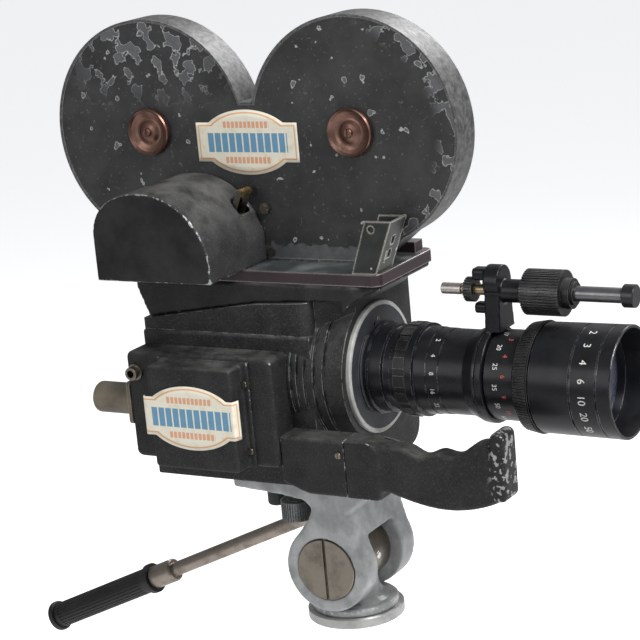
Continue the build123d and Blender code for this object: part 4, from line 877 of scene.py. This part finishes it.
CASTINGS = (
    ("side_box", 0.0013, 4, BODY_BLACK),
    ("box_cover", 0.0010, 4, BODY_BLACK),
    ("grip_bracket", 0.0010, 10, GRIP_BLACK),
    ("finger_grip", 0.0010, 16, GRIP_BLACK),
    ("saddle_neck", 0.0016, 6, SADDLE_BLACK),
    ("motor_cover", 0.0012, 3, COVER_GREY),
    ("tilt_yoke", 0.0012, 8, CASTING_GREY),
    ("drive_bracket", 0.0008, 4, LENS_BLACK),
)
for node, cell, rounds, finish in CASTINGS:
    cast_skin(node, cell, rounds, finish)

# %% [markdown]
# ## Paper badges
# Each badge is one sheet of paper: an oval with a square tab at each end.  A
# grid gives the sheet, and each column of its points is stretched to the
# outline's height there, so the outline is exact.  The badge on the box cover is
# wider than its place, so its ends wrap round the cover's corners.  The print
# reads the sheet's own UV map, in metres, so it wraps with the paper.  Plain
# blocks of colour stand where the real one has words.

# %% Badge print
BADGE_HALF = 0.0440
PAPER_THICK = 0.00025
TAB_HALF = 0.0148
OVAL_HALF = (0.0405, 0.0245)


def badge_print():
    """Cream paper, an orange border line and rows of plain blocks."""
    material, tree, shader = surface("badge_paper")
    flat = add(tree, "ShaderNodeUVMap", uv_map="sheet").outputs["UV"]
    axes = add(tree, "ShaderNodeSeparateXYZ", {0: flat}).outputs
    across = maths(tree, "ABSOLUTE", axes["X"])
    height = maths(tree, "ABSOLUTE", axes["Y"])
    in_tab = maths(
        tree,
        "MAXIMUM",
        maths(tree, "SUBTRACT", across, BADGE_HALF),
        maths(tree, "SUBTRACT", height, TAB_HALF),
    )
    wide = maths(tree, "POWER", maths(tree, "DIVIDE", across, OVAL_HALF[0]), 2.0)
    tall = maths(tree, "POWER", maths(tree, "DIVIDE", height, OVAL_HALF[1]), 2.0)
    round_out = maths(tree, "SQRT", maths(tree, "ADD", wide, tall))
    in_oval = maths(tree, "MULTIPLY", maths(tree, "SUBTRACT", round_out, 1.0), OVAL_HALF[1])
    inside = maths(tree, "MINIMUM", in_tab, in_oval)
    line = maths(
        tree, "MULTIPLY", ramp(tree, inside, -0.0030, -0.0027), ramp(tree, inside, -0.0016, -0.0019)
    )

    def blocks(centre, half_height, half_width, pitch, share):
        """A row of blocks at one height."""
        row = maths(tree, "ABSOLUTE", maths(tree, "SUBTRACT", axes["Y"], centre))
        row = maths(tree, "LESS_THAN", row, half_height)
        span = maths(tree, "LESS_THAN", across, half_width)
        step = maths(tree, "FRACT", maths(tree, "ADD", maths(tree, "DIVIDE", axes["X"], pitch), 100.5))
        return maths(
            tree,
            "MULTIPLY",
            maths(tree, "MULTIPLY", row, span),
            maths(tree, "LESS_THAN", step, share),
        )

    large = blocks(-0.0003, 0.0072, 0.0350, 0.0062, 0.80)
    small = maths(
        tree,
        "MAXIMUM",
        blocks(0.0132, 0.0024, 0.0200, 0.0036, 0.74),
        blocks(-0.0135, 0.0024, 0.0200, 0.0036, 0.74),
    )
    stain = ramp(tree, noise(tree, flat, 90.0, 6.0, 0.65), 0.45, 0.8)
    paper = mix_colour(tree, stain, rgb(0.86, 0.82, 0.69), rgb(0.70, 0.60, 0.42))
    inked = mix_colour(tree, maths(tree, "MULTIPLY", line, 0.85), paper, rgb(0.72, 0.34, 0.12))
    inked = mix_colour(tree, maths(tree, "MULTIPLY", small, 0.8), inked, rgb(0.74, 0.30, 0.13))
    inked = mix_colour(tree, maths(tree, "MULTIPLY", large, 0.9), inked, rgb(0.06, 0.27, 0.47))
    tree.links.new(inked, shader.inputs["Base Color"])
    shader.inputs["Roughness"].default_value = 0.42
    bump(tree, shader, noise(tree, flat, 260.0, 4.0), 0.25, 0.00015)
    return material


BADGE_PAPER = badge_print()


# %% Badge sheets
def badge(name, node, centre_x, centre_z, corners=(-1.0, 1.0), turn_back=0.0018):
    """A badge sheet on a face that looks along -Y, wrapped past its corners."""
    face_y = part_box(node)[0].y
    bm = bmesh.new()
    bmesh.ops.create_grid(bm, x_segments=96, y_segments=8, size=1.0)
    uv = bm.loops.layers.uv.new("sheet")
    flat = {}
    for vert in bm.verts:
        x = vert.co.x * BADGE_HALF
        oval = OVAL_HALF[1] * math.sqrt(max(0.0, 1.0 - (x / OVAL_HALF[0]) ** 2))
        z = vert.co.y * max(TAB_HALF, oval)
        flat[vert] = (x, z)
        place_x = centre_x + x
        lift = 0.0
        for corner, outward in ((corners[0], -1.0), (corners[1], 1.0)):
            past = (place_x - corner) * outward
            if past > 0.0:
                angle = min(past / turn_back, math.pi / 2 * 0.86)
                straight = past - angle * turn_back
                place_x = corner + outward * (turn_back * math.sin(angle) + straight * math.cos(angle))
                lift = turn_back * (1 - math.cos(angle)) + straight * math.sin(angle)
        vert.co = Vector((place_x, face_y + lift, centre_z + z))
    for loop_face in bm.faces:
        for loop in loop_face.loops:
            loop[uv].uv = flat[loop.vert]
    bm.normal_update()
    bmesh.ops.solidify(bm, geom=bm.faces[:], thickness=PAPER_THICK)
    made = piece(name, bm, BADGE_PAPER, "camera")
    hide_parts(node)
    return made


magazine_badge_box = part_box("magazine_badge")
cover_badge_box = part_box("cover_badge")
cover_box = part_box("box_cover")
badge(
    "magazine_badge_sheet",
    "magazine_badge",
    (magazine_badge_box[0].x + magazine_badge_box[1].x) / 2,
    (magazine_badge_box[0].z + magazine_badge_box[1].z) / 2,
)
badge(
    "cover_badge_sheet",
    "cover_badge",
    (cover_badge_box[0].x + cover_badge_box[1].x) / 2 - 0.0005,
    (cover_badge_box[0].z + cover_badge_box[1].z) / 2,
    corners=(cover_box[0].x - 0.0035, -0.0327),
)

# %% [markdown]
# ## Knurling on the focus ring
# A straight knurl is one small rib, repeated.  Each rib is a thin cube, turned
# about the lens axis.  Ribs follow the ring's cone.

# %% Focus knurl
LENS_Z = (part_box("front_glass")[0].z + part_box("front_glass")[1].z) / 2
RIB_COUNT = 110


def knurl(name, node, body, count, radii, inset, rib_share=0.55, proud=0.0007):
    """Ribs along a ring that goes from one radius to another."""
    low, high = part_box(node)
    start, end = low.x + inset[0], high.x - inset[1]
    slope = math.atan2(radii[1] - radii[0], end - start)
    middle = (radii[0] + radii[1]) / 2
    bm = bmesh.new()
    width = 2 * math.pi * middle / count * rib_share
    for step in range(count):
        turn = Matrix.Rotation(2 * math.pi * step / count, 4, "X")
        lean = Matrix.Rotation(-slope, 4, "Y")
        size = Matrix.Diagonal((end - start, width, 2 * proud, 1.0))
        spot = Matrix.Translation(((start + end) / 2, 0, middle))
        centre = Matrix.Translation((0, 0, LENS_Z))
        bmesh.ops.create_cube(bm, size=1.0, matrix=centre @ turn @ spot @ lean @ size)
    return piece(name, bm, KNURL_BLACK, body, smooth=False)


knurl("focus_knurl", "focus_ring", "focus", RIB_COUNT, (0.0385, 0.0403), (0.0015, 0.0012))

# %% [markdown]
# ## Dial numerals
# Numbers on a dial are engraved and filled.  Each is a text object made into a
# mesh, then rolled onto the barrel: its width becomes an angle, its height runs
# along the lens.  Plain numbers only.

# %% Numeral finishes and helper
def ink(name, colour):
    """Filled engraving: flat paint with slight wear."""
    material, tree, shader = surface(name)
    fade = noise(tree, place(tree), 600.0, 4.0)
    tree.links.new(
        mix_colour(tree, ramp(tree, fade, 0.4, 0.8), rgb(*colour), rgb(*[0.55 * v for v in colour])),
        shader.inputs["Base Color"],
    )
    shader.inputs["Roughness"].default_value = 0.55
    return material


WHITE_INK = ink("white_ink", (0.72, 0.71, 0.68))
RED_INK = ink("red_ink", (0.62, 0.10, 0.06))


def lens_radius(node, x):
    """How far the outside of a CAD node stands from the lens axis at x."""
    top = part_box(node)[1].z + 0.02
    cast = NODES[node].ray_cast(Vector((x, 0.0001, top)), Vector((0, 0, -1)))
    return cast[1].z - LENS_Z if cast[0] else top - LENS_Z - 0.02


def rolled_text(bm, words, x, angle, radius, size):
    """Roll a text's mesh onto the lens at an angle from the top, towards -Y."""
    curve = bpy.data.curves.new("numeral", "FONT")
    curve.body = words
    curve.size = size
    curve.align_x = "CENTER"
    curve.align_y = "CENTER"
    curve.extrude = 0.00004
    holder = bpy.data.objects.new("numeral", curve)
    bpy.context.scene.collection.objects.link(holder)
    mesh = bpy.data.meshes.new_from_object(holder.evaluated_get(bpy.context.evaluated_depsgraph_get()))
    bpy.data.objects.remove(holder)
    bpy.data.curves.remove(curve)
    first = len(bm.verts)
    bm.from_mesh(mesh)
    bpy.data.meshes.remove(mesh)
    bm.verts.ensure_lookup_table()
    for vert in bm.verts[first:]:
        across, up, proud = vert.co
        turn = angle + across / radius
        reach = radius + proud + 0.00003
        vert.co = Vector((x + up, -reach * math.sin(turn), LENS_Z + reach * math.cos(turn)))


def dial(name, body, marks, size, finish, slot):
    """One piece holding every (words, x, degrees) mark of a dial."""
    bm = bmesh.new()
    for words, x, degrees in marks:
        rolled_text(bm, words, x, math.radians(degrees), lens_radius(slot, x), size)
    return piece(name, bm, finish, body, smooth=False)


# %% Dials
FOCAL_MM = ["17", "20", "25", "35", "50", "68"]
ZOOM_FEET = ["3", "4", "6", "9", "15", "30"]
STOPS = ["2", "4", "8", "16", "22"]
FEET = ["2", "3", "4", "6", "10", "20", "50"]


def marks_of(numbers, x, first_degrees, pitch_degrees):
    """Marks in a row round the lens: words, place along it and degrees from the top."""
    return [(number, x, first_degrees + pitch_degrees * step) for step, number in enumerate(numbers)]


zoom_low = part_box("zoom_ring")[0]
dial(
    "zoom_numerals",
    "zoom",
    marks_of(FOCAL_MM, zoom_low.x + 0.0085, 12, 26),
    0.0052,
    WHITE_INK,
    "zoom_ring",
)
dial(
    "zoom_numerals_red",
    "zoom",
    marks_of(ZOOM_FEET, zoom_low.x + 0.0150, 24, 26),
    0.0050,
    RED_INK,
    "zoom_ring",
)
iris_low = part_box("iris_ring")[0]
dial(
    "iris_numerals",
    "iris",
    marks_of(STOPS, iris_low.x + 0.0048, 30, 24),
    0.0050,
    WHITE_INK,
    "iris_ring",
)
barrel_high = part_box("front_barrel")[1]
dial(
    "distance_numerals",
    "focus",
    marks_of(FEET, barrel_high.x - 0.0215, 18, 19),
    0.0078,
    WHITE_INK,
    "front_barrel",
)

# %% [markdown]
# ## Floor, backdrop and light
# A pale floor, large enough to fill the view, lies well below the object and
# takes the softest of shadows.  It glows a little, and only for the camera, so
# it reads as white and still doesn't light the object from below.  A strong
# light stands high at the lens's end, a weak fill stands low at the near side
# and one behind the magazine draws the bright line along its rim.

# %% Floor
FLOOR_GLOW = 0.68
FLOOR_HALF = 60.0
FLOOR_DROP = 0.30


def floor():
    """A flat pale floor below the object."""
    bm = bmesh.new()
    bmesh.ops.create_grid(bm, x_segments=2, y_segments=2, size=FLOOR_HALF)
    bmesh.ops.translate(bm, verts=bm.verts, vec=(0, 0, CAD_BOX[0][2] - FLOOR_DROP))
    mesh = bpy.data.meshes.new("floor")
    bm.to_mesh(mesh)
    bm.free()
    made = bpy.data.objects.new("floor", mesh)
    bpy.context.scene.collection.objects.link(made)
    material, tree, shader = surface("floor_pale")
    tree.links.new(
        mix_colour(tree, noise(tree, place(tree), 1.2), rgb(0.80, 0.80, 0.81), rgb(0.84, 0.84, 0.84)),
        shader.inputs["Base Color"],
    )
    shader.inputs["Roughness"].default_value = 0.9
    shader.inputs["Emission Color"].default_value = rgb(0.97, 0.98, 1.0)
    seen = add(tree, "ShaderNodeLightPath").outputs["Is Camera Ray"]
    tree.links.new(maths(tree, "MULTIPLY", seen, FLOOR_GLOW), shader.inputs["Emission Strength"])
    mesh.materials.append(material)


floor()


# %% Lights
def area_light(name, spot, target, size, watts, colour=(1.0, 1.0, 1.0)):
    """A square soft light that faces a target."""
    data = bpy.data.lights.new(name, "AREA")
    data.energy = watts
    data.size = size
    data.color = colour
    made = bpy.data.objects.new(name, data)
    made.location = spot
    made.rotation_euler = (Vector(target) - Vector(spot)).to_track_quat("-Z", "Y").to_euler()
    bpy.context.scene.collection.objects.link(made)


MIDDLE = (0.0, 0.0, 0.25)
area_light("key", (1.5, -0.35, 1.9), MIDDLE, 1.1, 60.0)
area_light("fill", (-0.5, -2.2, 1.0), MIDDLE, 1.3, 13.0)
area_light("rim", (0.2, 1.5, 1.5), MIDDLE, 1.0, 26.0)
world = bpy.data.worlds.new("studio")
bpy.context.scene.world = world
world.use_nodes = True
world.node_tree.nodes["Background"].inputs["Color"].default_value = rgb(0.93, 0.94, 0.96)
world.node_tree.nodes["Background"].inputs["Strength"].default_value = 0.26
bpy.context.scene.view_settings.view_transform = "Standard"
